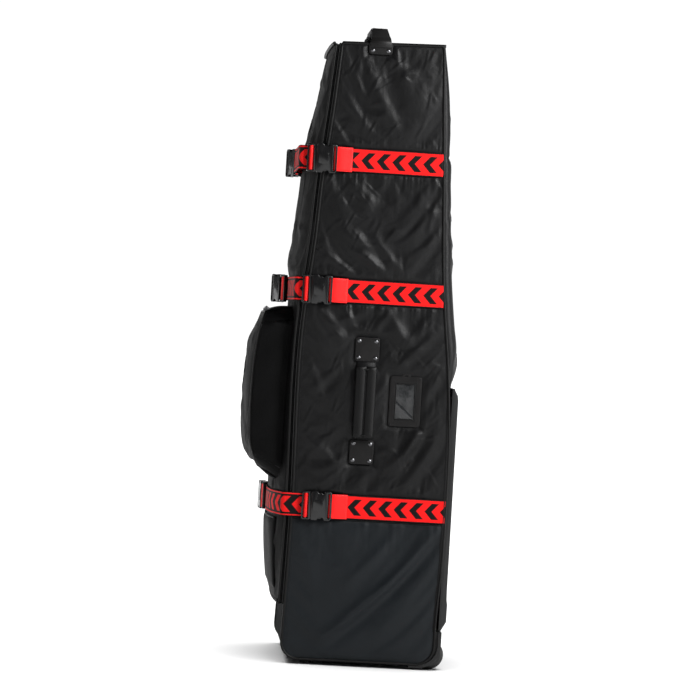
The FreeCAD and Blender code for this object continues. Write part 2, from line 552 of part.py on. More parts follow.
def handles():
    under = f"{HALF} + webbing_thick + 2 * clearance"
    face = f"({under} + patch_thick)"
    spots, patches = [], []
    for number, height in enumerate(("patch_high", "patch_low")):
        plate = box(f"patch{number}", (under, face), ("handle_y - patch / 2", "handle_y + patch / 2"),
                    (f"{height} - patch / 2", f"{height} + patch / 2"))
        corners = [(f"handle_y + ({a} * 21)", f"{height} + ({b} * rivet_inset)") for a in (-1, 1) for b in (-1, 1)]
        holes = [rod(f"patch{number}_hole{i}", "rivet_shank + 0.05", (f"{under} - 1", f"{face} + 1"), y, z)
                 for i, (y, z) in enumerate(corners)]
        patches.append(cut(f"patch{number}", plate, *holes))
        spots += [(face, y, z) for y, z in corners]
    part("side_handle_patches", group("side_handle_patches", *patches))
    t = "webbing_thick"
    end = f"{HALF} + clearance"
    ends = [box(f"side_end{i}", (end, f"{end} + {t}"), ("handle_y - strap_half", "handle_y + strap_half"), z)
            for i, z in enumerate((("patch_high - 27", "patch_high + 16"), ("patch_low - 16", "patch_low + 27")))]
    part("side_handle_strap", group("side_handle_strap", *ends))
    tails = []
    for number, (start, stop) in enumerate((("patch_high - 27.5", "grip_high - 3"), ("patch_low + 27.5", "grip_low + 3"))):
        tail = [(end, start), (f"{end} + {t}", start), (f"grip_in + 4 + {t}", stop), ("grip_in + 4", stop)]
        tails.append(prism(f"tail{number}", "XZ_Plane", tail, "-(handle_y + strap_half)", "2 * strap_half"))
    sleeve = prism("sleeve", "XY_Plane", [("grip_in", "handle_y - grip_half"), ("grip_out", "handle_y - grip_half"),
                                          ("grip_out", "handle_y + grip_half"), ("grip_in", "handle_y + grip_half")],
                   "grip_low", "grip_high - grip_low",
                   [("grip_out", "handle_y - grip_half", "6"), ("grip_out", "handle_y + grip_half", "6")])
    part("side_handle_grip", fuse("side_handle_grip", sleeve, *tails))

    plate = box("top_patch", (under, face), ("top_y - top_patch_half", "top_y + top_patch_half"),
                ("top_patch_low", "top_patch_high"))
    corners = [(f"top_y + ({a} * 18)", "top_patch_low + 6") for a in (-1, 1)]
    holes = [rod(f"top_hole{i}", "rivet_shank + 0.05", (f"{under} - 1", f"{face} + 1"), y, z)
             for i, (y, z) in enumerate(corners)]
    right = cut("top_patch", plate, *holes)
    part("top_handle_patches", group("top_handle_patches", right, mirrored("top_patch_left", right)))
    side_rivets = [rivet(f"rivet{i}", *spot) for i, spot in enumerate(spots)]
    top_rivets = [rivet(f"top_rivet{i}", face, y, z) for i, (y, z) in enumerate(corners)]
    left_rivets = [mirrored(f"top_rivet_left{i}", item) for i, item in enumerate(top_rivets)]
    part("handle_rivets", group("handle_rivets", *side_rivets, *top_rivets, *left_rivets))
    flat = "top_grip_low + 4.5"
    arch = [(end, "top_patch_low + 2"), (end, "top_patch_high"), ("top_grip_half + 60", flat),
            ("-top_grip_half - 60", flat), (f"-({end})", "top_patch_high"), (f"-({end})", "top_patch_low + 2")]
    over = [(f"-({end}) - {t}", "top_patch_low + 2"), (f"-({end}) - {t}", "top_patch_high + 1"),
            ("-top_grip_half - 60", f"{flat} + {t}"), ("top_grip_half + 60", f"{flat} + {t}"),
            (f"{end} + {t}", "top_patch_high + 1"), (f"{end} + {t}", "top_patch_low + 2")]
    part("top_handle_strap", prism("top_strap", "XZ_Plane", arch + over, "-(top_y + top_strap_half)", "2 * top_strap_half"))
    bar = prism("top_bar", "YZ_Plane", [("top_y - 15.5", "top_grip_low"), ("top_y - 15.5", "top_grip_high"),
                                        ("top_y + 15.5", "top_grip_high"), ("top_y + 15.5", "top_grip_low")],
                "-top_grip_half", "2 * top_grip_half",
                [("top_y - 15.5", "top_grip_high", "5"), ("top_y + 15.5", "top_grip_high", "5")])
    bar_slot = box("top_slot", ("-top_grip_half - 1", "top_grip_half + 1"),
                   ("top_y - top_strap_half - 0.4", "top_y + top_strap_half + 0.4"), (f"{flat} - 0.4", f"{flat} + {t} + 0.4"))
    part("top_handle_grip", cut("top_handle_grip", bar, bar_slot))


def address_window():
    y = ("id_y - id_wide / 2", "id_y + id_wide / 2")
    z = ("id_height - id_tall / 2", "id_height + id_tall / 2")
    hole_y = ("id_y - id_hole_wide / 2", "id_y + id_hole_wide / 2")
    hole_z = ("id_height - id_hole_tall / 2", "id_height + id_hole_tall / 2")
    frame = box("id_plate", (f"{HALF} + 0.9", f"{HALF} + 3"), y, z)
    edge = box("id_edge", (HALF, f"{HALF} + 0.9"), y, z)
    room = box("id_room", (f"{HALF} - 1", f"{HALF} + 0.9"), ("id_y - id_wide / 2 + 5", "id_y + id_wide / 2 - 5"),
               ("id_height - id_tall / 2 + 5", "id_height + id_tall / 2 - 5"))
    hole = box("id_hole", (f"{HALF} - 1", f"{HALF} + 9"), hole_y, hole_z)
    part("id_frame", cut("id_frame", fuse("id_frame", frame, edge), room, hole))
    part("id_window", box("id_film", (HALF, f"{HALF} + 0.6"), ("id_y - id_wide / 2 + 6", "id_y + id_wide / 2 - 6"),
                          ("id_height - id_tall / 2 + 6", "id_height + id_tall / 2 - 6")))


for build in (panels, base, spine, housing, wheels, zips, sliders, straps, handles, address_window):
    build()
pocket(door())
doc.recompute()

# ---------------------------------------------------------------- checks and export
broken = [o.Name for o in doc.Objects if {"Invalid", "Error"} & set(o.State)]
unsound = [n for n, o in PARTS.items() if o.Shape.isNull() or not o.Shape.isValid() or not o.Shape.Solids]
if broken or unsound:
    raise RuntimeError(f"objects that failed: {broken}; sub-parts with no sound solid: {unsound}")
os.makedirs("parts", exist_ok=True)
for name, item in PARTS.items():
    item.Shape.exportStep(f"parts/{name}.step")
print(len(PARTS), "sub-parts,", round(sum(o.Shape.Volume for o in PARTS.values()) / 1e6, 3), "litres of material")
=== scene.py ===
import math

import bmesh
import bpy
import numpy as np
from mathutils import Matrix, Vector


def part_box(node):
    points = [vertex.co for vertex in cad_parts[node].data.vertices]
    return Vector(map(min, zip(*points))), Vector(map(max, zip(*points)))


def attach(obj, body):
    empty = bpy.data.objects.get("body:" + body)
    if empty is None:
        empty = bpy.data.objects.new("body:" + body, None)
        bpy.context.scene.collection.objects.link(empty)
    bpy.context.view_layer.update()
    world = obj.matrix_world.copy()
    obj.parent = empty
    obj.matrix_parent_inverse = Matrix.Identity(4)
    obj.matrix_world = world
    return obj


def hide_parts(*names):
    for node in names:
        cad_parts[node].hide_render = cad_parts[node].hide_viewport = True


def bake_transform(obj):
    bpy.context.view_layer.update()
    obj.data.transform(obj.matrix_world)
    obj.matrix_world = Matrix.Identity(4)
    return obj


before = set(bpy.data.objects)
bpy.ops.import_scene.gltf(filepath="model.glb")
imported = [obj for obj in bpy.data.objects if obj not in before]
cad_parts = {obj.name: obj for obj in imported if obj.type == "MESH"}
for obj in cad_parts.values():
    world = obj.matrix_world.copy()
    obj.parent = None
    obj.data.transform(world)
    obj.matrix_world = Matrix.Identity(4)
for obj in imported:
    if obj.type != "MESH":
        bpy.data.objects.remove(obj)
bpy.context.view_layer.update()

scene = bpy.context.scene
# the three straps: height of the webbing, near buckle mouth ahead of the middle, tilt of the far buckle
LEVELS = {"top": 1.044, "mid": 0.774, "low": 0.329}
MOUTH = {"top": 0.104, "mid": 0.098, "low": 0.073}
FAR_TILT = {"top": 22, "mid": 22, "low": 5}    # degrees
HALF = 0.18                 # half of the bag's width
WEB = 0.05                  # width of the webbing
BOOT_TOP = 0.302            # seam between the boot panel and the cloth above it
HANDLE_Y = 0.024            # middle of the side handle, back from the bag's middle
PATCH_HEIGHTS = (0.656, 0.444)
PATCH_HALF = 0.025          # half of a side patch's width and height
TOP_HANDLE_Y = 0.015
WINDOW = (0.108, 0.553, 0.033, 0.052)    # address window: centre in Y and Z, half width, half height
BUCKLE_STAND = 0.0003       # gap between the side and the near buckle


# ------------------------------------------------------------------ materials
def new_material(name):
    m = bpy.data.materials.new(name)
    m.use_nodes = True
    return m, m.node_tree.nodes, m.node_tree.links, m.node_tree.nodes["Principled BSDF"]


def math_node(nodes, links, operation, a, b=None):
    n = nodes.new("ShaderNodeMath")
    n.operation = operation
    for socket, v in zip(n.inputs, (a, b)):
        if v is None:
            continue
        if isinstance(v, (int, float)):
            socket.default_value = v
        else:
            links.new(v, socket)
    return n.outputs[0]


def noise(nodes, links, vector, scale, detail=3.0, rough=0.5):
    n = nodes.new("ShaderNodeTexNoise")
    n.inputs["Scale"].default_value = scale
    n.inputs["Detail"].default_value = detail
    n.inputs["Roughness"].default_value = rough
    links.new(vector, n.inputs["Vector"])
    return n.outputs["Fac"]


def ramp(nodes, links, fac, stops):
    n = nodes.new("ShaderNodeValToRGB")
    while len(n.color_ramp.elements) < len(stops):
        n.color_ramp.elements.new(0.5)
    for e, (pos, value) in zip(n.color_ramp.elements, stops):
        e.position = pos
        e.color = value if len(value) == 4 else (*value, 1)
    links.new(fac, n.inputs["Fac"])
    return n.outputs["Color"]


def weave_height(nodes, links, uv, pitch):
    """Over-and-under threads: two crossed sine waves, in UV metres."""
    split = nodes.new("ShaderNodeSeparateXYZ")
    links.new(uv, split.inputs[0])
    k = 2 * math.pi / pitch
    u = math_node(nodes, links, "SINE", math_node(nodes, links, "MULTIPLY", split.outputs[0], k))
    v = math_node(nodes, links, "SINE", math_node(nodes, links, "MULTIPLY", split.outputs[1], k))
    return math_node(nodes, links, "MULTIPLY", u, v), split


def bump(nodes, links, bsdf, height, strength, distance, below=None):
    n = nodes.new("ShaderNodeBump")
    n.inputs["Strength"].default_value = strength
    n.inputs["Distance"].default_value = distance
    links.new(height, n.inputs["Height"])
    if below is not None:
        links.new(below, n.inputs["Normal"])
    links.new(n.outputs[0], bsdf.inputs["Normal"])
    return n.outputs[0]


def cloth_material(name, color, rough, pitch=0.0009, relief=0.2, mottle=0.25, specular=0.14, sheen=0.0):
    """Woven nylon: threads, a faint unevenness of tone, fine creasing and faint streaks down the cloth."""
    m, nodes, links, bsdf = new_material(name)
    uv = nodes.new("ShaderNodeTexCoord")
    height, _ = weave_height(nodes, links, uv.outputs["UV"], pitch)
    tone = noise(nodes, links, uv.outputs["Object"], 9.0, 4.0, 0.6)
    dark = tuple(c * (1 - mottle) for c in color)
    light = tuple(min(1, c * (1 + mottle)) for c in color)
    links.new(ramp(nodes, links, tone, [(0.3, dark), (0.7, light)]), bsdf.inputs["Base Color"])
    lum = noise(nodes, links, uv.outputs["Object"], 23.0, 3.0)
    r = math_node(nodes, links, "MULTIPLY_ADD", lum, 0.16)
    r.node.inputs[2].default_value = rough - 0.08
    links.new(r, bsdf.inputs["Roughness"])
    fine = noise(nodes, links, uv.outputs["Object"], 60.0, 4.0, 0.6)
    soft = bump(nodes, links, bsdf, fine, 0.25, 0.0012)
    drawn = nodes.new("ShaderNodeVectorMath")
    drawn.operation = "MULTIPLY"
    drawn.inputs[1].default_value = (320, 320, 14)
    links.new(uv.outputs["Object"], drawn.inputs[0])
    streak = noise(nodes, links, drawn.outputs[0], 1.0, 2.0)
    soft = bump(nodes, links, bsdf, streak, 0.3, 0.0004, soft)
    bump(nodes, links, bsdf, height, relief, 0.00012, soft)
    bsdf.inputs["Sheen Weight"].default_value = sheen
    bsdf.inputs["Sheen Roughness"].default_value = 0.4
    bsdf.inputs["Specular IOR Level"].default_value = specular
    return m


def leather_material(name, color, rough=0.45):
    m, nodes, links, bsdf = new_material(name)
    uv = nodes.new("ShaderNodeTexCoord")
    cells = nodes.new("ShaderNodeTexVoronoi")
    cells.feature = "DISTANCE_TO_EDGE"
    cells.inputs["Scale"].default_value = 620.0
    links.new(uv.outputs["Object"], cells.inputs["Vector"])
    bump(nodes, links, bsdf, cells.outputs["Distance"], 0.5, 0.0003)
    tone = noise(nodes, links, uv.outputs["Object"], 40.0, 4.0)
    dark = tuple(c * 0.7 for c in color)
    light = tuple(c * 1.4 for c in color)
    links.new(ramp(nodes, links, tone, [(0.3, dark), (0.7, light)]), bsdf.inputs["Base Color"])
    bsdf.inputs["Roughness"].default_value = rough
    bsdf.inputs["Specular IOR Level"].default_value = 0.16
    return m


def plastic_material(name, color, rough, coat=0.0, grain=0.0, metal=0.0):
    """Moulded plastic or metal, with a slight grain and uneven gloss from handling."""
    m, nodes, links, bsdf = new_material(name)
    uv = nodes.new("ShaderNodeTexCoord")
    lum = noise(nodes, links, uv.outputs["Object"], 35.0, 5.0, 0.6)
    r = math_node(nodes, links, "MULTIPLY_ADD", lum, 0.14)
    r.node.inputs[2].default_value = rough - 0.07
    links.new(r, bsdf.inputs["Roughness"])
    dark = tuple(c * 0.85 for c in color)
    links.new(ramp(nodes, links, lum, [(0.35, dark), (0.65, color)]), bsdf.inputs["Base Color"])
    if grain:
        speck = noise(nodes, links, uv.outputs["Object"], 1400.0, 2.0)
        bump(nodes, links, bsdf, speck, grain, 0.0001)
    bsdf.inputs["Metallic"].default_value = metal
    bsdf.inputs["Specular IOR Level"].default_value = 0.35
    bsdf.inputs["Coat Weight"].default_value = coat
    bsdf.inputs["Coat Roughness"].default_value = 0.08
    return m


def webbing_material(name, ground, figure, edge, stripe):
    """Jacquard webbing: bold chevrons between two edge stripes. UV is in metres, u along, v across."""
    m, nodes, links, bsdf = new_material(name)
    uv = nodes.new("ShaderNodeTexCoord")
    ribs, split = weave_height(nodes, links, uv.outputs["UV"], 0.0016)
    u, v = split.outputs[0], split.outputs[1]
    away = math_node(nodes, links, "ABSOLUTE", v)
    slant = math_node(nodes, links, "ADD", u, math_node(nodes, links, "MULTIPLY", away, 0.9))
    phase = math_node(nodes, links, "FRACT", math_node(nodes, links, "DIVIDE", slant, 0.032))
    bar = math_node(nodes, links, "LESS_THAN", phase, 0.46)
    band = math_node(nodes, links, "LESS_THAN", away, 0.0165)
    shape = math_node(nodes, links, "MULTIPLY", bar, band)
    mix = nodes.new("ShaderNodeMix")
    mix.data_type = "RGBA"
    links.new(shape, mix.inputs["Factor"])
    mix.inputs["A"].default_value = (*ground, 1)
    mix.inputs["B"].default_value = (*figure, 1)
    outer = nodes.new("ShaderNodeMix")
    outer.data_type = "RGBA"
    line = math_node(nodes, links, "MULTIPLY", math_node(nodes, links, "GREATER_THAN", away, stripe[0]),
                     math_node(nodes, links, "LESS_THAN", away, stripe[1]))
    links.new(line, outer.inputs["Factor"])
    links.new(mix.outputs["Result"], outer.inputs["A"])
    outer.inputs["B"].default_value = (*edge, 1)
    # painted shade: the colour is darkened where the weave's height is low, in its hollows
    shade = nodes.new("ShaderNodeMix")
    shade.data_type = "RGBA"
    shade.blend_type = "MULTIPLY"
    shade.inputs["Factor"].default_value = 0.35
    links.new(outer.outputs["Result"], shade.inputs["A"])
    links.new(ramp(nodes, links, ribs, [(0.2, (0.6, 0.6, 0.6)), (0.8, (1, 1, 1))]), shade.inputs["B"])
    links.new(shade.outputs["Result"], bsdf.inputs["Base Color"])
    raised = math_node(nodes, links, "ADD", ribs, math_node(nodes, links, "MULTIPLY", shape, 1.2))
    bump(nodes, links, bsdf, raised, 0.6, 0.0002)
    bsdf.inputs["Roughness"].default_value = 0.6
    bsdf.inputs["Specular IOR Level"].default_value = 0.08
    return m


def film_material(name):
    m, nodes, links, bsdf = new_material(name)
    uv = nodes.new("ShaderNodeTexCoord")
    ripple = noise(nodes, links, uv.outputs["Object"], 28.0, 2.0)
    bump(nodes, links, bsdf, ripple, 0.6, 0.002)
    bsdf.inputs["Base Color"].default_value = (0.012, 0.013, 0.014, 1)
    bsdf.inputs["Roughness"].default_value = 0.2
    bsdf.inputs["Coat Weight"].default_value = 0.2
    bsdf.inputs["Coat Roughness"].default_value = 0.05
    bsdf.inputs["Alpha"].default_value = 0.82
    return m


RED = (0.72, 0.007, 0.007)
RED_DEEP = (0.62, 0.008, 0.008)
INK = (0.004, 0.003, 0.003)
NYLON = cloth_material("nylon", (0.0024, 0.0024, 0.0026), 0.44, specular=0.15)
# painted shade: the front panels (door, pocket, lid, pad) use the side's black nylon with a darker colour painted in,
# and less gloss, so that the front reads darker than the side
NYLON_FRONT_SHADED = cloth_material("nylon_front", (0.0014, 0.0014, 0.0015), 0.58, specular=0.06)
COATED = cloth_material("coated_cloth", (0.0052, 0.0066, 0.0080), 0.45, relief=0.1, mottle=0.12)
HEM = cloth_material("hem_cloth", (0.003, 0.0035, 0.004), 0.85, specular=0.05)
PIPING = cloth_material("piping", (0.003, 0.003, 0.003), 0.5, mottle=0.1)
TAPE = cloth_material("zip_tape", (0.003, 0.003, 0.003), 0.6)
THREAD = cloth_material("thread", (0.010, 0.010, 0.0105), 0.6)
LEATHER = leather_material("grained_patch", (0.004, 0.0037, 0.0037))
GRIP = leather_material("grip_cover", (0.0008, 0.0008, 0.0009), 0.52)
GLOSS = plastic_material("gloss_plastic", (0.003, 0.003, 0.0033), 0.22, coat=0.15)
SATIN = plastic_material("satin_plastic", (0.004, 0.004, 0.0043), 0.42, grain=0.4)
RUBBER = plastic_material("tyre", (0.007, 0.007, 0.007), 0.6, grain=0.3)
HUB = plastic_material("hub", (0.02, 0.02, 0.021), 0.35)
STEEL = plastic_material("steel", (0.55, 0.55, 0.56), 0.25, metal=1.0)
DARK_METAL = plastic_material("dark_metal", (0.10, 0.10, 0.105), 0.3, metal=1.0)
FILM = film_material("film")
CARD = plastic_material("card", (0.010, 0.010, 0.011), 0.7)
WEB_FACE = webbing_material("webbing_face", RED, INK, INK, (0.0226, 0.03))
WEB_BACK = webbing_material("webbing_back", INK, RED_DEEP, RED_DEEP, (0.0205, 0.0232))
WEB_PLAIN = cloth_material("webbing_plain", RED, 0.32, pitch=0.0016, relief=0.7, mottle=0.08, sheen=0.2)
WEB_BLACK = cloth_material("webbing_black", (0.004, 0.004, 0.0043), 0.5, pitch=0.0018, relief=1.0)


# ------------------------------------------------------------------ meshes
def unit(v):
    return v / np.maximum(np.linalg.norm(v, axis=-1, keepdims=True), 1e-12)


def lengths(points):
    """How far along a path each of its points lies."""
    return np.concatenate([[0], np.cumsum(np.linalg.norm(np.diff(points, axis=0), axis=1))])


def caps(rows, n):
    """The two end faces of a tube made of rows of n points."""
    return [tuple(range(n)), tuple(reversed(range((rows - 1) * n, rows * n)))]


def outward(ob):
    """Turns the faces of a closed piece to look out."""
    bm = bmesh.new()
    bm.from_mesh(ob.data)
    bmesh.ops.recalc_face_normals(bm, faces=bm.faces)
    bm.to_mesh(ob.data)
    bm.free()
    return ob


def soften(ob, width, degrees):
    """Rounds over the edges that turn by more than an angle."""
    m = ob.modifiers.new("edge", "BEVEL")
    m.width = width
    m.segments = 3
    m.limit_method = "ANGLE"
    m.angle_limit = math.radians(degrees)
    return m


def link(name, verts, faces, materials, uv=None, index=None):
    me = bpy.data.meshes.new(name)
    me.from_pydata(np.asarray(verts, float).tolist(), [], [tuple(f) for f in faces])
    me.update()
    me.polygons.foreach_set("use_smooth", [True] * len(me.polygons))
    for m in materials if isinstance(materials, (list, tuple)) else [materials]:
        me.materials.append(m)
    if index is not None:
        me.polygons.foreach_set("material_index", index)
    if uv is not None:
        loops = np.empty(len(me.loops), int)
        me.loops.foreach_get("vertex_index", loops)
        layer = me.uv_layers.new(name="UVMap")
        layer.data.foreach_set("uv", np.asarray(uv, float)[loops].ravel())
    ob = bpy.data.objects.new(name, me)
    scene.collection.objects.link(ob)
    return ob


def bake(ob):
    """Turns the piece's modifiers into mesh."""
    bpy.context.view_layer.update()
    graph = bpy.context.evaluated_depsgraph_get()
    me = bpy.data.meshes.new_from_object(ob.evaluated_get(graph), preserve_all_data_layers=True,
                                         depsgraph=graph)
    old = ob.data
    ob.modifiers.clear()
    ob.data = me
    bpy.data.meshes.remove(old)
    return ob


def grid_faces(nu, nv, wrap_u=False, wrap_v=False, flip=False):
    """Four-sided faces between the points of a grid."""
    faces = []
    for i in range(nu if wrap_u else nu - 1):
        for j in range(nv if wrap_v else nv - 1):
            a, b = i * nv + j, ((i + 1) % nu) * nv + j
            c, d = ((i + 1) % nu) * nv + (j + 1) % nv, i * nv + (j + 1) % nv
            faces.append((a, d, c, b) if flip else (a, b, c, d))
    return faces


def sheet_uv(p):
    """UV in metres from the lengths along a grid of points."""
    du = np.linalg.norm(np.diff(p, axis=0), axis=2)
    dv = np.linalg.norm(np.diff(p, axis=1), axis=2)
    u = np.concatenate([np.zeros((1, p.shape[1])), np.cumsum(du, 0)], 0)
    v = np.concatenate([np.zeros((p.shape[0], 1)), np.cumsum(dv, 1)], 1)
    return np.stack([u, v], 2).reshape(-1, 2)


def surface(name, p, material, flip=False):
    faces = grid_faces(p.shape[0], p.shape[1], flip=flip)
    return link(name, p.reshape(-1, 3), faces, material, sheet_uv(p))


def thicken(ob, thickness, edge=0.0):
    """Gives a sheet its thickness behind its outer face, and rolls its edges."""
    m = ob.modifiers.new("thick", "SOLIDIFY")
    m.thickness = thickness
    m.offset = -1
    m.use_rim = True
    if edge:
        soften(ob, edge, 60)
    return bake(ob)


def transport(path, closed):
    """Unit tangents and a frame carried along a path without twist."""
    path = np.asarray(path, float)
    if closed:
        t = np.roll(path, -1, 0) - np.roll(path, 1, 0)
    else:
        t = np.gradient(path, axis=0)
    t = unit(t)
    first = np.cross(t[0], (0.123, 0.456, 0.88))
    n = [first / np.linalg.norm(first)]
    for k in t[1:]:
        v = n[-1] - k * np.dot(n[-1], k)
        n.append(v / np.linalg.norm(v))
    n = np.array(n)
    return path, t, n, np.cross(t, n)


def tube(name, path, radius, material, sides=10, closed=False):
    path, _, n, b = transport(path, closed)
    r = np.broadcast_to(np.asarray(radius, float).reshape(-1, 1), (len(path), 1))
    angle = np.arange(sides) * 2 * math.pi / sides
    c, d = np.cos(angle)[None, :, None], np.sin(angle)[None, :, None]
    verts = path[:, None] + r[:, None] * (c * n[:, None] + d * b[:, None])
    faces = grid_faces(len(path), sides, closed, True)
    if not closed:
        faces += caps(len(path), sides)
    uv = np.stack(np.broadcast_arrays(lengths(path)[:, None], (angle * 0.004)[None]), 2).reshape(-1, 2)
    return link(name, verts.reshape(-1, 3), faces, material, uv)


def resample(points, step, closed=False):
    """Evenly spaced points on a smooth curve through the given ones."""
    p = np.asarray(points, float)
    if closed:
        ext = np.concatenate([p[-1:], p, p[:2]])
    else:
        ext = np.concatenate([2 * p[:1] - p[1:2], p, 2 * p[-1:] - p[-2:-1]])
    out = []
    for k in range(1, len(ext) - 2):
        a, b, c, d = ext[k - 1:k + 3]
        t = np.linspace(0, 1, 24, endpoint=False)[:, None]
        square, cube = 2 * a - 5 * b + 4 * c - d, 3 * b - a - 3 * c + d
        out.append(0.5 * (2 * b + (c - a) * t + square * t ** 2 + cube * t ** 3))
    out = np.concatenate(out + [p[:1] if closed else p[-1:]])
    along = lengths(out)
    count = max(3, int(round(along[-1] / step)) + 1)
    even = np.linspace(0, along[-1], count)
    res = np.stack([np.interp(even, along, out[:, k]) for k in range(3)], 1)
    return res[:-1] if closed else res


def through(points):
    """A smooth curve through (input, output) pairs, as a function of the input."""
    p = np.array(points, float)
    x, y = p[:, 0], p[:, 1]
    slope = np.gradient(y, x)

    def at(v):
        v = np.clip(np.asarray(v, float), x[0], x[-1])
        k = np.clip(np.searchsorted(x, v) - 1, 0, len(x) - 2)
        h = x[k + 1] - x[k]
        t = (v - x[k]) / h
        return ((2 * t ** 3 - 3 * t ** 2 + 1) * y[k] + (t ** 3 - 2 * t ** 2 + t) * h * slope[k]
                + (3 * t ** 2 - 2 * t ** 3) * y[k + 1] + (t ** 3 - t ** 2) * h * slope[k + 1])
    return at


def slab(name, outline, low, high, axis, material, bevel=0.0006, holes=()):
    """A flat outline pushed through along an axis, with its edges rounded over. Holes are outlines too."""
    bm = bmesh.new()
    order = {"x": (1, 2, 0), "y": (0, 2, 1), "z": (0, 1, 2)}[axis]

    def at(u, v, w):
        c = [0, 0, 0]
        c[order[0]], c[order[1]], c[order[2]] = u, v, w
        return c

    loops = [list(outline)] + [list(h) for h in holes]
    edges = []
    for loop in loops:
        ring = [bm.verts.new(at(u, v, low)) for u, v in loop]
        edges += [bm.edges.new((ring[i], ring[(i + 1) % len(ring)])) for i in range(len(ring))]
    bmesh.ops.triangle_fill(bm, use_beauty=True, use_dissolve=True, edges=edges)
    made = bmesh.ops.extrude_face_region(bm, geom=list(bm.faces))
    moved = [g for g in made["geom"] if isinstance(g, bmesh.types.BMVert)]
    shift = [0, 0, 0]
    shift[order[2]] = high - low
    bmesh.ops.translate(bm, verts=moved, vec=shift)
    bmesh.ops.recalc_face_normals(bm, faces=bm.faces)
    me = bpy.data.meshes.new(name)
    bm.to_mesh(me)
    bm.free()
    me.polygons.foreach_set("use_smooth", [True] * len(me.polygons))
    me.materials.append(material)
    ob = bpy.data.objects.new(name, me)
    scene.collection.objects.link(ob)
    if bevel:
        soften(ob, bevel, 50).harden_normals = True
    return bake(ob)


def rounded(u0, u1, v0, v1, r, n=6):
    """A rectangle's outline with round corners."""
    pts = []
    for cu, cv, start in ((u1 - r, v0 + r, -90), (u1 - r, v1 - r, 0), (u0 + r, v1 - r, 90),
                          (u0 + r, v0 + r, 180)):
        for k in range(n + 1):
            a = math.radians(start + 90 * k / n)
            pts.append((cu + r * math.cos(a), cv + r * math.sin(a)))
    return pts


def join(name, parts):
    """One piece from several meshes, with their materials kept."""
    mats, verts, faces, index, uvs, smooth = [], [], [], [], [], []
    for ob in parts:
        me = ob.data
        base = len(verts)
        verts += [tuple(ob.matrix_world @ v.co) for v in me.vertices]
        remap = []
        for m in me.materials:
            if m not in mats:
                mats.append(m)
            remap.append(mats.index(m))
        layer = me.uv_layers[0].data if me.uv_layers else None
        for p in me.polygons:
            faces.append([base + v for v in p.vertices])
            index.append(remap[p.material_index] if remap else 0)
            smooth.append(p.use_smooth)
            uvs += [tuple(layer[i].uv) if layer else (0, 0) for i in p.loop_indices]
    out = link(name, verts, faces, mats, index=index)
    out.data.polygons.foreach_set("use_smooth", smooth)
    layer = out.data.uv_layers.new(name="UVMap")
    layer.data.foreach_set("uv", np.array(uvs).ravel())
    for ob in parts:
        bpy.data.objects.remove(ob)
    return out


def mirror(ob, name):
    """The same piece on the other side of the bag."""
    me = ob.data.copy()
    me.transform(Matrix.Scale(-1, 4, (1, 0, 0)))
    me.flip_normals()
    out = bpy.data.objects.new(name, me)
    scene.collection.objects.link(out)
    return out


def stitches(name, path, normal, material=THREAD, long=0.0032, gap=0.0016, radius=0.00042, closed=False):
    """A row of short stitches laid along a path."""
    pts = resample(path, long + gap, closed)
    if not closed:
        pts = pts[:-1]
    n = np.asarray(normal, float)
    follow = np.roll(pts, -1, 0) - pts if closed else np.gradient(pts, axis=0)
    verts, faces = [], []
    for p, t in zip(pts, follow):
        t = t / max(np.linalg.norm(t), 1e-9)
        side = np.cross(t, n)
        base = len(verts)
        for s, w in ((-0.5, 0.35), (-0.3, 1.0), (0.3, 1.0), (0.5, 0.35)):
            for a in (0, math.pi / 2, math.pi, 3 * math.pi / 2):
                verts.append(p + t * s * long + radius * w * (math.cos(a) * side + math.sin(a) * n))
        for row in (base, base + 4, base + 8):
            faces += [(row + q, row + (q + 1) % 4, row + 4 + (q + 1) % 4, row + 4 + q) for q in range(4)]
        faces += [(base + 3, base + 2, base + 1, base), (base + 12, base + 13, base + 14, base + 15)]
    return link(name, verts, faces, material)


# ------------------------------------------------------------------ cloth
def fold(y, z, start, end, width, height, bow=0.0):
    """A soft ridge from start to end with a shallow trough beside it."""
    a, d = np.array(start), np.array(end) - np.array(start)
    length = np.hypot(*d)
    t = ((y - a[0]) * d[0] + (z - a[1]) * d[1]) / length ** 2
    s = ((z - a[1]) * d[0] - (y - a[0]) * d[1]) / length - bow * np.sin(math.pi * np.clip(t, 0, 1))
    ridge = np.exp(-(s / width) ** 2) - 0.6 * np.exp(-((s - 1.8 * width) / (1.3 * width)) ** 2)
    return height * ridge * np.sin(math.pi * np.clip(t, 0, 1)) ** 0.7


def pucker(y, z, line, away, height, reach=0.028, pitch=0.019, seed=1):
    """Gathers that run out from a sewn line, on one side of it."""
    r = np.random.default_rng(seed)
    gap = (z - line) * away
    wave = sum(np.sin(2 * math.pi * y / (pitch * f) + r.uniform(0, 6.28) + 9 * gap * r.uniform(-1, 1))
               for f in (0.8, 1.0, 1.37, 1.9))
    amount = 0.5 + 0.5 * np.sin(2 * math.pi * y / 0.13 + r.uniform(0, 6.28))
    return height * wave / 2.2 * amount * np.where(gap > 0, np.exp(-gap / reach)
                                                   * np.clip(gap / 0.004, 0, 1), 0)


def random_folds(u, z, seed, count, heights, places, angle, reach, width, height):
    """Folds strewn over a panel. The number pairs are the ranges that each fold is drawn from."""
    r = np.random.default_rng(seed)
    total = np.zeros_like(z)
    for _ in range(count):
        cz, cu, turn = r.uniform(*heights), r.uniform(*places), angle(r)
        half = r.uniform(*reach)
        du, dz = half * math.cos(turn), half * math.sin(turn)
        total += fold(u, z, (cu - du, cz - dz), (cu + du, cz + dz), r.uniform(*width), r.uniform(*height))
    return total


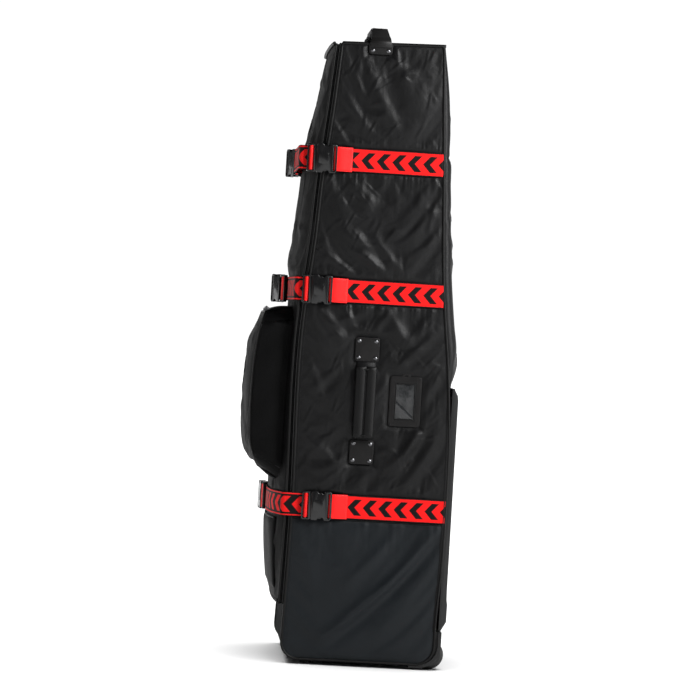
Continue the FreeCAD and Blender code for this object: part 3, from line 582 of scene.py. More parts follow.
def settle(ob, held, excess, pressure, cap, frames=16):
    """Lets a panel hang as cloth. held is how firmly each vertex is sewn down, cap how far it may move."""
    start = np.array([v.co for v in ob.data.vertices])
    group = ob.vertex_groups.new(name="sewn")
    for i, w in enumerate(held):
        if w > 0:
            group.add([i], float(w), "REPLACE")
    m = ob.modifiers.new("cloth", "CLOTH")
    s = m.settings
    s.quality = 5
    s.mass = 0.2
    s.tension_stiffness = 30
    s.compression_stiffness = 30
    s.shear_stiffness = 12
    s.bending_stiffness = 1.2
    s.tension_damping = 12
    s.compression_damping = 12
    s.shear_damping = 8
    s.bending_damping = 2
    s.air_damping = 2.5
    s.vertex_group_mass = "sewn"
    s.pin_stiffness = 1.0
    s.use_pressure = True
    s.uniform_pressure_force = pressure
    s.shrink_min = -excess
    s.effector_weights.gravity = 0.25
    m.collision_settings.use_collision = False
    m.point_cache.frame_start = 1
    m.point_cache.frame_end = frames
    for f in range(1, frames + 1):
        scene.frame_set(f)
    graph = bpy.context.evaluated_depsgraph_get()
    done = ob.evaluated_get(graph).to_mesh()
    co = np.empty(len(done.vertices) * 3)
    done.vertices.foreach_get("co", co)
    ob.evaluated_get(graph).to_mesh_clear()
    ob.modifiers.clear()
    ob.vertex_groups.clear()
    move = co.reshape(-1, 3) - start
    size = np.linalg.norm(move, axis=1, keepdims=True)
    move *= np.minimum(1, cap / np.maximum(size, 1e-9))
    ob.data.vertices.foreach_set("co", (start + move).ravel())
    ob.data.update()
    scene.frame_set(1)
    return ob


# the side's front and back edges: Y at a height
front_line = through([(0.0, -0.1195), (0.1, -0.1165), (0.3, -0.1122), (0.72, -0.111), (0.876, -0.0965),
                      (1.001, -0.089), (1.147, -0.0745), (1.29, -0.0635)])
back_line = through([(0.0, 0.199), (0.1, 0.1985), (0.2, 0.2035), (0.33, 0.2055), (0.5, 0.203), (0.62, 0.194),
                     (0.774, 0.1765), (1.043, 0.160), (1.29, 0.146)])
LOW, HIGH = 0.011, 1.283
FRONT_ROUND, BACK_ROUND = 0.034, 0.039


def corner(z, r):
    """How far a rounded bottom corner draws an edge in at a height."""
    h = np.clip(r - (z - LOW), 0, r)
    return r - np.sqrt(np.maximum(r * r - h * h, 0))


def side_point(u, z):
    """A point on the flat side: u runs from the front edge to the back edge."""
    f = front_line(z) + corner(z, FRONT_ROUND)
    b = back_line(z) - corner(z, BACK_ROUND)
    return f + (b - f) * u, z + 0.006 * u * np.clip((z - 0.7) / 0.583, 0, 1)


# creases of the side: start and end in (Y, Z), width, height, bow
FOLDS = [
    # upper end, above the top strap
    ((-0.03, 1.262), (0.055, 1.085), 0.016, 0.0045, 0.010),
    ((0.035, 1.270), (0.110, 1.090), 0.015, 0.0040, 0.014),
    ((-0.052, 1.180), (0.010, 1.085), 0.010, 0.0028, 0.0),
    ((0.085, 1.245), (0.128, 1.120), 0.012, 0.0030, 0.0),
    ((0.100, 1.265), (0.020, 1.215), 0.010, -0.0030, 0.006),
    # between the top and middle straps
    ((-0.050, 1.010), (0.030, 0.935), 0.012, 0.0036, 0.008),
    ((0.045, 1.012), (-0.010, 0.930), 0.010, 0.0030, 0.0),
    ((0.140, 0.995), (0.060, 0.860), 0.014, 0.0034, -0.010),
    ((-0.055, 0.905), (0.045, 0.812), 0.013, 0.0062, 0.012),
    ((-0.030, 0.865), (0.060, 0.806), 0.008, 0.0052, 0.006),
    ((0.020, 0.900), (0.085, 0.810), 0.010, 0.0044, 0.0),
    ((0.150, 0.900), (0.098, 0.812), 0.010, 0.0034, 0.0),
    ((-0.070, 0.845), (-0.010, 0.808), 0.007, 0.0036, 0.0),
    # between the middle and low straps
    ((-0.085, 0.738), (-0.020, 0.655), 0.011, 0.0046, 0.006),
    ((-0.030, 0.742), (-0.002, 0.690), 0.008, 0.0036, 0.0),
    ((0.060, 0.742), (0.135, 0.650), 0.013, 0.0040, -0.008),
    ((0.150, 0.735), (0.100, 0.660), 0.010, 0.0034, 0.0),
    ((0.172, 0.560), (0.065, 0.372), 0.013, 0.0060, 0.008),
    ((0.178, 0.480), (0.110, 0.366), 0.010, 0.0044, 0.0),
    ((-0.090, 0.470), (-0.010, 0.372), 0.012, 0.0036, 0.010),
    ((-0.080, 0.400), (0.020, 0.445), 0.010, 0.0036, -0.006),
    ((0.060, 0.420), (0.000, 0.362), 0.010, 0.0040, 0.0),
    ((-0.095, 0.640), (-0.060, 0.520), 0.012, 0.0028, 0.0),
    ((0.175, 0.620), (0.120, 0.505), 0.010, 0.0040, 0.0),
    ((0.150, 0.500), (0.060, 0.400), 0.009, 0.0048, 0.006),
    ((0.010, 0.425), (-0.070, 0.365), 0.008, 0.0042, 0.0),
    ((-0.020, 0.500), (-0.085, 0.430), 0.009, 0.0034, 0.0),
    ((0.020, 0.735), (-0.060, 0.700), 0.008, 0.0040, 0.0),
    ((0.165, 0.700), (0.085, 0.620), 0.009, 0.0042, 0.0),
    ((-0.040, 0.610), (-0.090, 0.560), 0.009, 0.0030, 0.0),
    ((0.070, 0.740), (0.030, 0.690), 0.007, 0.0040, 0.0),
    # boot panel
    ((0.200, 0.300), (-0.060, 0.035), 0.011, 0.0125, 0.010),
    ((0.120, 0.298), (0.000, 0.160), 0.012, 0.0040, 0.0),
    ((0.190, 0.240), (0.040, 0.100), 0.012, 0.0034, 0.008),
    ((0.175, 0.200), (0.060, 0.045), 0.016, 0.0030, 0.0),
    ((-0.090, 0.285), (-0.060, 0.160), 0.014, 0.0020, 0.0),
]


def side_relief(y, z):
    """How far the side's cloth stands off its flat outline."""
    h = 0.80 * sum(fold(y, z, a, b, w, t, bow) for a, b, w, t, bow in FOLDS)
    h = h + random_folds(y, z, 17, 110, (0.32, 1.27), (-0.09, 0.17),
                         lambda r: r.normal(0.9, 0.5) * (1 if r.random() < 0.62 else -1),
                         (0.015, 0.05), (0.005, 0.011), (0.0005, 0.0014))
    for k, level in enumerate(LEVELS.values()):
        h = h + pucker(y, z, level + 0.026, 1, 0.0016, seed=11 + k)
        h = h + pucker(y, z, level - 0.026, -1, 0.0015, seed=21 + k)
    return h + pucker(y, z, 1.277, -1, 0.0014, reach=0.035, seed=31)


def fine_relief(y, z):
    """Short, sharper creases and tight gathers beside the straps."""
    h = random_folds(y, z, 29, 230, (0.31, 1.27), (-0.10, 0.18),
                     lambda r: r.normal(1.0, 0.35) * (1 if r.random() < 0.7 else -1),
                     (0.008, 0.030), (0.0022, 0.0042), (0.0003, 0.0009))
    for k, level in enumerate(LEVELS.values()):
        h += pucker(y, z, level + 0.027, 1, 0.0008, reach=0.013, pitch=0.0085, seed=61 + k)
        if level > BOOT_TOP + 0.1:
            h += pucker(y, z, level - 0.027, -1, 0.0008, reach=0.013, pitch=0.0085, seed=71 + k)
    return h


def by_grip(y, z):
    """1 behind the side handle's grip, falling to 0 around it."""
    return np.exp(-(((y - HANDLE_Y) / 0.035) ** 2 + ((z - 0.55) / 0.11) ** 2))


def side_hold(y, z, u, end):
    """1 where the cloth is sewn down, falling to 0 away from seams, straps, patches and the window.

    u runs from the front edge to the back edge; end is the distance to the nearer of the upper and lower seams.
    """
    edge = np.minimum(u, 1 - u) * 0.3
    held = np.clip(1 - edge / 0.007, 0, 1)
    held = np.maximum(held, np.clip(1 - end / 0.007, 0, 1))
    for level, mouth in zip(LEVELS.values(), MOUTH.values()):
        across = np.clip((0.031 - np.abs(z - level)) / 0.006, 0, 1)
        held = np.maximum(held, across * np.clip((y + mouth + 0.01) / 0.012, 0, 1))
    # the handle's patches, the window and the top handle's patch: centre and half size
    patches = [(HANDLE_Y, height, PATCH_HALF, PATCH_HALF) for height in PATCH_HEIGHTS]
    for cy, cz, hy, hz in (*patches, WINDOW, (TOP_HANDLE_Y, 1.278, 0.024, 0.014)):
        d = np.maximum(np.abs(y - cy) - hy, np.abs(z - cz) - hz)
        held = np.maximum(held, np.clip(1 - d / 0.010, 0, 1))
    return held


def side_cloth(name, z0, z1, material, nu, nv):
    u, z = np.meshgrid(np.linspace(0, 1, nu), np.linspace(z0, z1, nv), indexing="ij")
    y, zz = side_point(u, z)
    held = side_hold(y, zz, u, np.minimum(z - z0, z1 - z))
    puff = 0.005 * np.clip(np.sin(math.pi * u), 0, 1) ** 0.6
    x = HALF + (1 - held) * (puff + side_relief(y, zz)) * (1 - 0.75 * by_grip(y, zz))
    ob = surface(name, np.stack([x, y, zz], 2), material)
    settle(ob, held.ravel(), 0.004, 1.6, 0.005)
    m = ob.modifiers.new("finer", "SUBSURF")
    m.levels = m.render_levels = 1
    m.boundary_smooth = "PRESERVE_CORNERS"
    bake(ob)
    co = np.array([v.co for v in ob.data.vertices])
    y, zz = co[:, 1], co[:, 2]
    u = (y - front_line(zz)) / (back_line(zz) - front_line(zz))
    held = side_hold(y, zz, u, np.minimum(zz - z0, z1 - zz))
    grip = by_grip(y, zz)
    co[:, 0] += (1 - held) * (1 - 0.7 * grip) * fine_relief(y, zz)
    co[:, 0] = np.clip(co[:, 0], HALF - 0.004, HALF + 0.0155 - 0.0115 * grip)
    ob.data.vertices.foreach_set("co", co.ravel())
    ob.data.update()
    return ob


def shell_cloth():
    upper = side_cloth("side_cloth_right", BOOT_TOP, HIGH, NYLON, 68, 210)
    boot = side_cloth("boot_cloth_right", LOW, BOOT_TOP, COATED, 62, 60)
    for ob, slot_name in ((upper, "body_fabric"), (boot, "boot_fabric")):
        thicken(ob, 0.006)
        left = mirror(ob, ob.name.replace("right", "left"))
        for o in (ob, left):
            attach(o, "shell")
    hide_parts("side_panel_right")
    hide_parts("side_panel_left")

    # back, with the soft upper part standing out past the seams
    swell = through([(0.0, 0.001), (0.56, 0.002), (0.592, 0.010), (0.64, 0.024), (0.72, 0.0245),
                     (0.87, 0.022), (0.975, 0.021),
                     (1.055, 0.0185), (1.062, 0.0185), (1.12, 0.019), (1.213, 0.015), (1.29, 0.006)])
    v, z = np.meshgrid(np.linspace(-1, 1, 56), np.linspace(LOW + 0.004, 1.288, 170), indexing="ij")
    base = back_line(z) - corner(z, BACK_ROUND)
    round_off = np.maximum(1 - np.abs(v) ** 7, 0) ** 0.5
    wrinkle = random_folds(v * HALF, z, 5, 26, (0.62, 1.27), (-0.15, 0.15), lambda r: r.uniform(-0.7, 0.7),
                           (0.04, 0.11), (0.008, 0.016), (0.0015, 0.0035))
    seam = -0.004 * np.exp(-((z - 1.060) / 0.004) ** 2)
    y = base + swell(z) * round_off + (wrinkle + seam) * round_off * (z > 0.6)
    x = v * HALF
    back = surface("back_cloth", np.stack([x, y, z], 2), NYLON, flip=True)
    thicken(back, 0.005)
    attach(back, "shell")
    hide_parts("back_panel")

    # top
    u, v = np.meshgrid(np.linspace(0, 1, 48), np.linspace(-1, 1, 60), indexing="ij")
    f, b = -0.0632, 0.150
    y = f + (b - f) * u
    dome = np.maximum(1 - np.abs(v) ** 4, 0) * np.sin(math.pi * np.clip(u, 0, 1)) ** 0.5
    creases = (((-0.12, -0.05), (-0.03, 0.1)), ((0.13, -0.04), (0.05, 0.12)), ((-0.02, -0.05), (0.05, 0.05)))
    ripple = sum(fold(v * HALF, y, p, q, 0.012, 0.002) for p, q in creases)
    z = HIGH + 0.006 * u - 0.0015 + dome * (0.001 + 0.4 * ripple)
    top = surface("top_cloth", np.stack([v * HALF, y, z], 2), NYLON)
    thicken(top, 0.006)
    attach(top, "shell")
    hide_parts("top_panel")

    # lower front, wrapping under to the tray
    v, t = np.meshgrid(np.linspace(-1, 1, 60), np.linspace(0, 1, 30), indexing="ij")
    z = LOW + 0.0005 + t * (0.118 - LOW)
    tuck = 0.001 * np.maximum(1 - np.abs(v) ** 5, 0) * np.sin(math.pi * np.clip(t * 0.92, 0, 1))
    y = front_line(z) + corner(z, FRONT_ROUND) + tuck
    low = surface("lower_front_cloth", np.stack([v * (HALF - 0.0005), y, z], 2), HEM)
    thicken(low, 0.005)
    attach(low, "shell")
    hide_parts("lower_front_panel")


def outline_path(x=HALF):
    """The side's outline: up the front, along the top, down the back and under."""
    path = [(x, front_line(k), k) for k in np.linspace(LOW + FRONT_ROUND, HIGH, 90)]
    deep = back_line(HIGH) - front_line(HIGH)
    path += [(x, front_line(HIGH) + deep * k, HIGH + 0.006 * k) for k in np.linspace(0.04, 0.96, 24)]
    path += [(x, back_line(k), k) for k in np.linspace(HIGH + 0.005, LOW + BACK_ROUND, 90)]
    back, front = back_line(LOW + BACK_ROUND) - BACK_ROUND, front_line(LOW + FRONT_ROUND) + FRONT_ROUND
    for a in np.radians(np.linspace(0, 90, 9)[1:]):
        path.append((x, back + BACK_ROUND * math.cos(a), LOW + BACK_ROUND - BACK_ROUND * math.sin(a)))
    for k in np.linspace(0, 1, 20)[1:-1]:
        path.append((x, (back_line(0.05) - BACK_ROUND) * (1 - k) + (front_line(0.05) + FRONT_ROUND) * k, LOW))
    for a in np.radians(np.linspace(90, 0, 9)[:-1]):
        path.append((x, front - FRONT_ROUND * math.cos(a), LOW + FRONT_ROUND - FRONT_ROUND * math.sin(a)))
    return path


def shell_trim():
    parts = [tube("piping", resample(outline_path(x=HALF + 0.0006), 0.008, True), 0.0026, PIPING, 8, True)]
    seam = [(HALF + 0.0012, y, BOOT_TOP - 0.0005) for y in np.linspace(-0.111, 0.197, 60)]
    parts.append(tube("boot_seam", seam, 0.0010, PIPING, 6))
    for off in (0.0045, -0.0045):
        line = [(HALF + 0.0022, y, BOOT_TOP + off) for y in np.linspace(-0.108, 0.194, 60)]
        parts.append(stitches("boot_stitch", line, (1, 0, 0)))
    front_run = [(HALF + 0.0017, y + 0.0065, z) for _, y, z in outline_path()
                 if y < 0 and LOW + 0.05 < z < HIGH - 0.01]
    parts.append(stitches("edge_stitch", front_run, (1, 0, 0)))
    right = join("edge_trim_right", parts)
    left = mirror(right, "edge_trim_left")
    seam_y = float(back_line(1.06)) - 0.0035
    run = [(x, seam_y + 0.0185 * max(1 - abs(x / HALF) ** 7, 0) ** 0.5, 1.0605)
           for x in np.linspace(-0.179, 0.179, 60)]
    seam_back = tube("back_seam", run, 0.0012, PIPING, 6)
    for o in (right, left, seam_back):
        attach(o, "shell")


# ------------------------------------------------------------------ door, zip, pockets
# how far forward the middle of the door bulges: Y at a height
apex = through([(0.120, -0.127), (0.130, -0.138), (0.145, -0.142), (0.174, -0.146), (0.277, -0.156),
                (0.34, -0.157), (0.45, -0.155), (0.60, -0.147), (0.738, -0.136), (0.80, -0.137),
                (0.834, -0.1375), (0.878, -0.134), (0.998, -0.1265), (1.091, -0.118), (1.138, -0.112), (1.186, -0.103),
                (1.253, -0.0925), (1.283, -0.081)])
DOOR_HALF, DOOR_LOW, DOOR_HIGH = 0.178, 0.122, 1.282


def door_edge(z):
    return front_line(z) - 0.0136


def door_face(x, z):
    """The door's outer face: y at a point of the door."""
    v = np.abs(np.asarray(x) / DOOR_HALF)
    return door_edge(z) + (apex(z) - door_edge(z)) * np.maximum(1 - v ** 2.6, 0) ** 0.8


def door_cloth():
    v, z = np.meshgrid(np.linspace(-1, 1, 74), np.linspace(DOOR_LOW, DOOR_HIGH, 210), indexing="ij")
    x = v * DOOR_HALF
    w = random_folds(x, z, 3, 44, (0.15, 1.25), (-0.16, 0.16),
                     lambda r: r.uniform(-0.6, 0.6) + (math.pi / 2 if r.random() < 0.4 else 0),
                     (0.03, 0.10), (0.007, 0.014), (0.0012, 0.0034))
    for k, level in enumerate(LEVELS.values()):
        w = w + pucker(x, z, level + 0.026, 1, 0.0018, seed=41 + k)
        w = w + pucker(x, z, level - 0.026, -1, 0.0018, seed=51 + k)
        w = w - 0.0012 * np.exp(-((z - level) / 0.024) ** 4)
    end = np.minimum(z - DOOR_LOW, DOOR_HIGH - z)
    edge = np.clip((1 - np.abs(v)) / 0.12, 0, 1) * np.clip(end / 0.02, 0, 1)
    y = door_face(x, z) - w * edge
    held = np.clip(1 - (1 - np.abs(v)) / 0.03, 0, 1)
    held = np.maximum(held, np.clip(1 - end / 0.006, 0, 1))
    for level in LEVELS.values():
        held = np.maximum(held, np.clip((0.030 - np.abs(z - level)) / 0.006, 0, 1))
    # under the deep pocket the cloth is sewn flat
    held = np.maximum(held, ((np.abs(x) < 0.156) & (z > 0.372) & (z < 0.738)).astype(float))
    ob = surface("door_cloth", np.stack([x, y, z], 2), NYLON_FRONT_SHADED)
    settle(ob, held.ravel(), 0.004, 1.2, 0.006)
    thicken(ob, 0.0085, 0.0015)
    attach(ob, "door")
    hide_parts("door_panel")

    loop = [(DOOR_HALF, float(door_edge(k)) + 0.001, k) for k in np.linspace(DOOR_LOW, DOOR_HIGH, 120)]
    right = tube("door_piping", loop, 0.0024, PIPING, 8)
    inner = tube("door_piping2", [(x, y + 0.0085, z) for x, y, z in loop], 0.0016, PIPING, 6)
    sewn = stitches("door_stitch", [(DOOR_HALF + 0.0004, y + 0.0045, z) for x, y, z in loop], (1, 0, 0))
    trim = join("door_trim_right", [right, inner, sewn])
    left = mirror(trim, "door_trim_left")
    across = np.linspace(-DOOR_HALF, DOOR_HALF, 60)
    top = tube("door_trim_top",
               [(x, float(door_face(x, DOOR_HIGH)) - 0.003, DOOR_HIGH + 0.0005) for x in across],
               0.0034, PIPING, 8)
    bottom = tube("door_trim_bottom", [(x, float(door_face(x, DOOR_LOW + 0.008)) + 0.0035, DOOR_LOW + 0.006)
                                       for x in across], 0.0062, NYLON_FRONT_SHADED, 12)
    for o in (trim, left, top, bottom):
        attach(o, "door")


def coil_zip(name, rows, pitch, height, shoulder, width=0.0042):
    """A closed coil zip: short bars across its line. A row is a point, the way along, across and out."""
    verts, faces = [], []
    for p, t, side, out in rows:
        base = len(verts)
        for a, h in ((-1, 0), (-shoulder, height), (shoulder, height), (1, 0)):
            for s in (-0.36, 0.36):
                verts.append(p + side * a * width / 2 + out * h + t * s * pitch)
        for q in (base, base + 2, base + 4):
            faces.append((q, q + 1, q + 3, q + 2))
        faces += [(base, base + 2, base + 4, base + 6), (base + 7, base + 5, base + 3, base + 1),
                  (base, base + 6, base + 7, base + 1)]
    return link(name, verts, faces, GLOSS)


def zips():
    up = [(0.1788, float(front_line(h)) - 0.0040, h) for h in np.linspace(0.127, 1.280, 150)]
    over = [(x, float(front_line(HIGH)) - 0.0040, HIGH - 0.0005) for x in np.linspace(-0.176, 0.176, 60)]
    for name, path, out in (("main_coil_right", up, (1.0, 0, 0)), ("main_coil_top", over, (0, 0, 1.0))):
        pts = resample(path, 0.0024)
        coil = coil_zip(name, [(p, t, np.cross(t, out), np.array(out)) for p,
                               t in zip(pts, unit(np.gradient(pts, axis=0)))],
                        0.0024, 0.0014, 0.75)
        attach(coil, "shell")


POCKET_HALF, POCKET_CORNER = 0.15, 0.042
# front edge of the deep pocket: Y at a height
pocket_front = through([(0.377, -0.172), (0.402, -0.184), (0.44, -0.200), (0.50, -0.2055), (0.575, -0.2062),
                        (0.65, -0.2015), (0.69, -0.195),
                        (0.722, -0.186), (0.735, -0.182)])


def pocket_gusset():
    """The deep pocket's side wall. Gives its front edge, where the zip runs."""
    count = 176
    rings = []
    for f in np.linspace(0, 1, 16):
        low, high = 0.377 + 0.025 * f, 0.733 - 0.011 * f
        outline = rounded(-POCKET_HALF, POCKET_HALF, low, high, POCKET_CORNER, 8)
        loop = resample([(x, 0.0, z) for x, z in outline], 0.004, True)
        t = np.linspace(0, 1, count, endpoint=False)
        s = np.linspace(0, 1, len(loop), endpoint=False)
        ring = np.stack([np.interp(t, s, loop[:, k], period=1) for k in (0, 2)], 1)
        x, z = ring[:, 0], ring[:, 1]
        back = door_face(x, z) + 0.004
        y = back + (pocket_front(z) - back) * f
        out = 0.0035 * math.sin(math.pi * f)
        wave = 0.0012 * np.sin(14 * t * 2 * math.pi + 3 * f) * math.sin(math.pi * f)
        norm = unit(np.stack([x - np.clip(x, -0.108, 0.108), z - np.clip(z, 0.42, 0.69)], 1))
        x = x + norm[:, 0] * (out + wave)
        z = z + norm[:, 1] * (out + wave)
        rings.append(np.stack([x, y, z], 1))
    p = np.array(rings)
    uv = np.stack(np.broadcast_arrays((np.arange(16) * 0.005)[:, None], np.linspace(0, 1.25, count)[None]), 2)
    ob = link("pocket_gusset", p.reshape(-1, 3), grid_faces(len(rings), count, False, True), NYLON_FRONT_SHADED,
              uv.reshape(-1, 2))
    thicken(ob, 0.003)
    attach(ob, "door")
    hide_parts("pocket_shell")
    return p[-1]


def pocket_lid(rim):
    """The lid, bulging between its edges, with the piping and the coil round it."""
    low, high = 0.406, 0.722
    heights = low + (high - low) * (0.5 - 0.5 * np.cos(np.linspace(0, math.pi, 80)))
    u, z = np.meshgrid(np.linspace(-1, 1, 76), heights, indexing="ij")
    into = np.clip(POCKET_CORNER - np.minimum(z - low, high - z), 0, POCKET_CORNER)
    x = u * (POCKET_HALF - POCKET_CORNER + np.sqrt(POCKET_CORNER ** 2 - into ** 2))
    t = (z - low) / (high - low) * 2 - 1
    dome = (np.maximum(1 - np.abs(u) ** 3.5, 0) * np.maximum(1 - np.abs(t) ** 3.5, 0)) ** 0.6
    w = random_folds(x, z, 9, 22, (0.43, 0.70), (-0.12, 0.12), lambda r: r.uniform(-1.5, 1.5),
                     (0.02, 0.06), (0.006, 0.013), (0.001, 0.0024))
    fade = np.clip(dome / 0.5, 0, 1)
    y = pocket_front(z) - 0.0016 - 0.0185 * dome - w * fade
    lid = surface("pocket_lid_cloth", np.stack([x, y, z], 2), NYLON_FRONT_SHADED)
    held = np.clip(1 - dome / 0.3, 0, 1)
    settle(lid, held.ravel(), 0.003, 1.0, 0.004)
    thicken(lid, 0.0042)
    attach(lid, "pocket_flap")
    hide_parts("pocket_lid")

    piping = tube("pocket_piping", resample(rim + (0, 0.0105, 0), 0.006, True), 0.0022, PIPING, 8, True)
    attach(piping, "door")
    edge_tube = tube("lid_piping", resample(rim + (0, -0.0022, 0), 0.006, True), 0.0022, PIPING, 8, True)
    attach(edge_tube, "pocket_flap")
    pts = resample(rim + (0, 0.0022, 0), 0.0025, True)
    rows = []
    for a, t in zip(pts, unit(np.roll(pts, -1, 0) - pts)):
        # the low side is the hinge, and has no zip
        if a[2] < 0.43:
            continue
        out = np.cross(t, (0, 1, 0))
        if np.dot(out, (a[0] - np.clip(a[0], -0.1, 0.1), 0, a[2] - np.clip(a[2], 0.43, 0.68))) < 0:
            out = -out
        rows.append((a, t, np.array([0, 1, 0]), out))
    coil = coil_zip("pocket_coil", rows, 0.0025, 0.0013, 0.7)
    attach(coil, "door")


def lower_pocket():
    """A flat pad with a bound hem."""
    u, z = np.meshgrid(np.linspace(-1, 1, 60), np.linspace(0.1505, 0.2975, 40), indexing="ij")
    x = u * 0.14
    end = np.clip(np.minimum(z - 0.1505, 0.2975 - z) / 0.012, 0, 1)
    e = np.maximum(1 - np.abs(u) ** 8, 0) ** 0.5 * end ** 0.5
    y = door_face(x, z) - 0.001 - 0.0055 * e - 0.0010 * np.sin(x * 60 + z * 25) * e
    pad = surface("lower_pocket_cloth", np.stack([x, y, z], 2), NYLON_FRONT_SHADED)
    thicken(pad, 0.0025)
    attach(pad, "door")
    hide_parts("lower_pocket")
    hem = tube("lower_pocket_hem",
               [(x, float(door_face(x, 0.2965)) - 0.0022, 0.2965) for x in np.linspace(-0.139, 0.139, 40)],
               0.0022, PIPING, 8)
    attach(hem, "door")


# ------------------------------------------------------------------ straps
def ribbon(name, path, outward_way, face, back, width=WEB, thick=0.0018, u0=0.0):
    """Webbing along a path, standing on edge along Z. outward_way picks the side that shows face."""
    pts = resample(path, 0.004)
    t = unit(np.gradient(pts, axis=0))
    across = unit(np.array([0.0, 0.0, 1.0]) - t * t[:, 2:3])
    n = np.cross(across, t)
    mid = len(pts) // 2
    if np.dot(n[mid], outward_way) < 0:
        n = -n
    h, e = thick / 2, 0.0005
    inner = list(np.linspace(-width / 2 + 0.004, width / 2 - 0.004, 9))
    columns = [-width / 2, -width / 2 + e] + inner + [width / 2 - e, width / 2]
    depth = [h if abs(v) < width / 2 else h * 0.3 for v in columns]
    section = list(zip(columns, depth)) + [(v, -d) for v, d in zip(columns[::-1], depth[::-1])]
    along = u0 + lengths(pts)
    verts, uv = [], []
    for k in range(len(pts)):
        for v, d in section:
            verts.append(pts[k] + across[k] * v + n[k] * d)
            uv.append((along[k], v))
    c = len(section)
    faces = grid_faces(len(pts), c, False, True)
    index = [0 if f[0] % c < len(columns) - 1 and f[3] % c < len(columns) else 1 for f in faces]
    return outward(link(name, verts, faces + caps(len(pts), c), [face, back], uv, index=index + [1, 1]))


SOCKET, SOCKET_WIDE, SOCKET_THICK = 0.042, 0.06, 0.0136    # length, width and depth of the hollow half


def socket_shape(name):
    """The buckle's hollow half, mouth at the origin and facing -Y, outer face at X = 0."""
    h = SOCKET_WIDE / 2
    notch = [(0.0125 + 0.0075 * (1 - math.cos(a)), 0.0062 * math.sin(a)) for a in np.linspace(0, math.pi, 9)]
    outline = [(0.0015, -h), *[(y, -h + d) for y, d in notch], (SOCKET - 0.004, -h),
               (SOCKET - 0.001, -h + 0.003),
               (SOCKET, -h + 0.006), (SOCKET, h - 0.006), (SOCKET - 0.001, h - 0.003), (SOCKET - 0.004, h),
               *[(y, h - d) for y, d in notch[::-1]], (0.0015, h), (0.0, h - 0.002), (0.0, -h + 0.002)]
    slot = rounded(SOCKET - 0.0082, SOCKET - 0.0038, -0.026, 0.026, 0.001, 2)
    parts = [slab(f"{name}_plate", outline, low, low + 0.0026, "x", GLOSS, 0.0009, [slot])
             for low in (-0.0026, -SOCKET_THICK)]
    inside = [rounded(SOCKET - 0.0120, SOCKET - 0.0085, -h + 0.001, h - 0.001, 0.0008, 2),
              rounded(SOCKET - 0.0035, SOCKET - 0.0004, -h + 0.004, h - 0.004, 0.0008, 2)]
    for sign in (-1, 1):
        for y0, y1, near, far in ((0.001, 0.0115, 0.0024, 0.0002), (0.0285, SOCKET - 0.004, 0.0048, 0.0004)):
            a, b = sorted((sign * (h - near), sign * (h - far)))
            inside.append([(y0, a), (y1, a), (y1, b), (y0, b)])
    parts += [slab(f"{name}_wall", wall, -SOCKET_THICK + 0.001, -0.001, "x", GLOSS, 0.0004)
              for wall in inside]
    parts.append(slab(f"{name}_rib", rounded(0.0035, 0.0245, -0.012, 0.012, 0.005, 6), -0.0004, 0.0006, "x",
                      GLOSS, 0.0005))
    return join(name, parts)


def plug_shape(name):
    """The pronged half, in the socket's frame: a ladder for the webbing, two arms and a guide."""
    h, mid = SOCKET_WIDE / 2 - 0.001, -SOCKET_THICK / 2
    outline = rounded(-0.020, -0.0003, -h, h, 0.004, 4)
    slots = [rounded(y, y + 0.0044, -0.026, 0.026, 0.0012, 3) for y in (-0.0172, -0.0102)]
    parts = [slab(f"{name}_ladder", outline, mid - 0.004, mid + 0.004, "x", GLOSS, 0.0011, slots)]
    for s in (-1, 1):
        arm = [(y, s * z) for y, z in ((-0.002, 0.019), (0.010, 0.0205), (0.016, 0.0205), (0.0255, 0.0195),
                                       (0.0258, 0.0225), (0.0195, 0.0270), (0.0140, 0.0272), (0.0128, 0.0250),
                                       (0.004, 0.0240), (-0.002, 0.0255))]
        parts.append(slab(f"{name}_arm", arm if s > 0 else arm[::-1], mid - 0.0018, mid + 0.0018, "x", GLOSS,
                          0.0006))
    parts.append(slab(f"{name}_guide", rounded(-0.002, 0.0255, -0.003, 0.003, 0.002, 3), mid - 0.0018,
                      mid + 0.0018, "x", GLOSS, 0.0005))
    return join(name, parts)


def pair(ob, other_name, near, far):
    """Places a piece at the near buckle and a copy of it at the far one."""
    other = ob.copy()
    other.data = ob.data.copy()
    other.name = other_name
    scene.collection.objects.link(other)
    ob.data.transform(near)
    other.data.transform(far)
    return ob, other


def buckles(level, near, far):
    sockets = pair(socket_shape(f"buckle_socket_{level}_near"), f"buckle_socket_{level}_far", near, far)
    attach(sockets[0], "shell")
    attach(sockets[1], f"strap_{level}")
    plugs = pair(plug_shape(f"buckle_plug_{level}_near"), f"buckle_plug_{level}_far", near, far)
    for o in plugs:
        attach(o, f"strap_{level}")
    for kind, pieces in (("socket", sockets), ("plug", plugs)):
        for o, side in zip(pieces, ("right", "left")):
            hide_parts(f"buckle_{kind}_{level}_{side}")


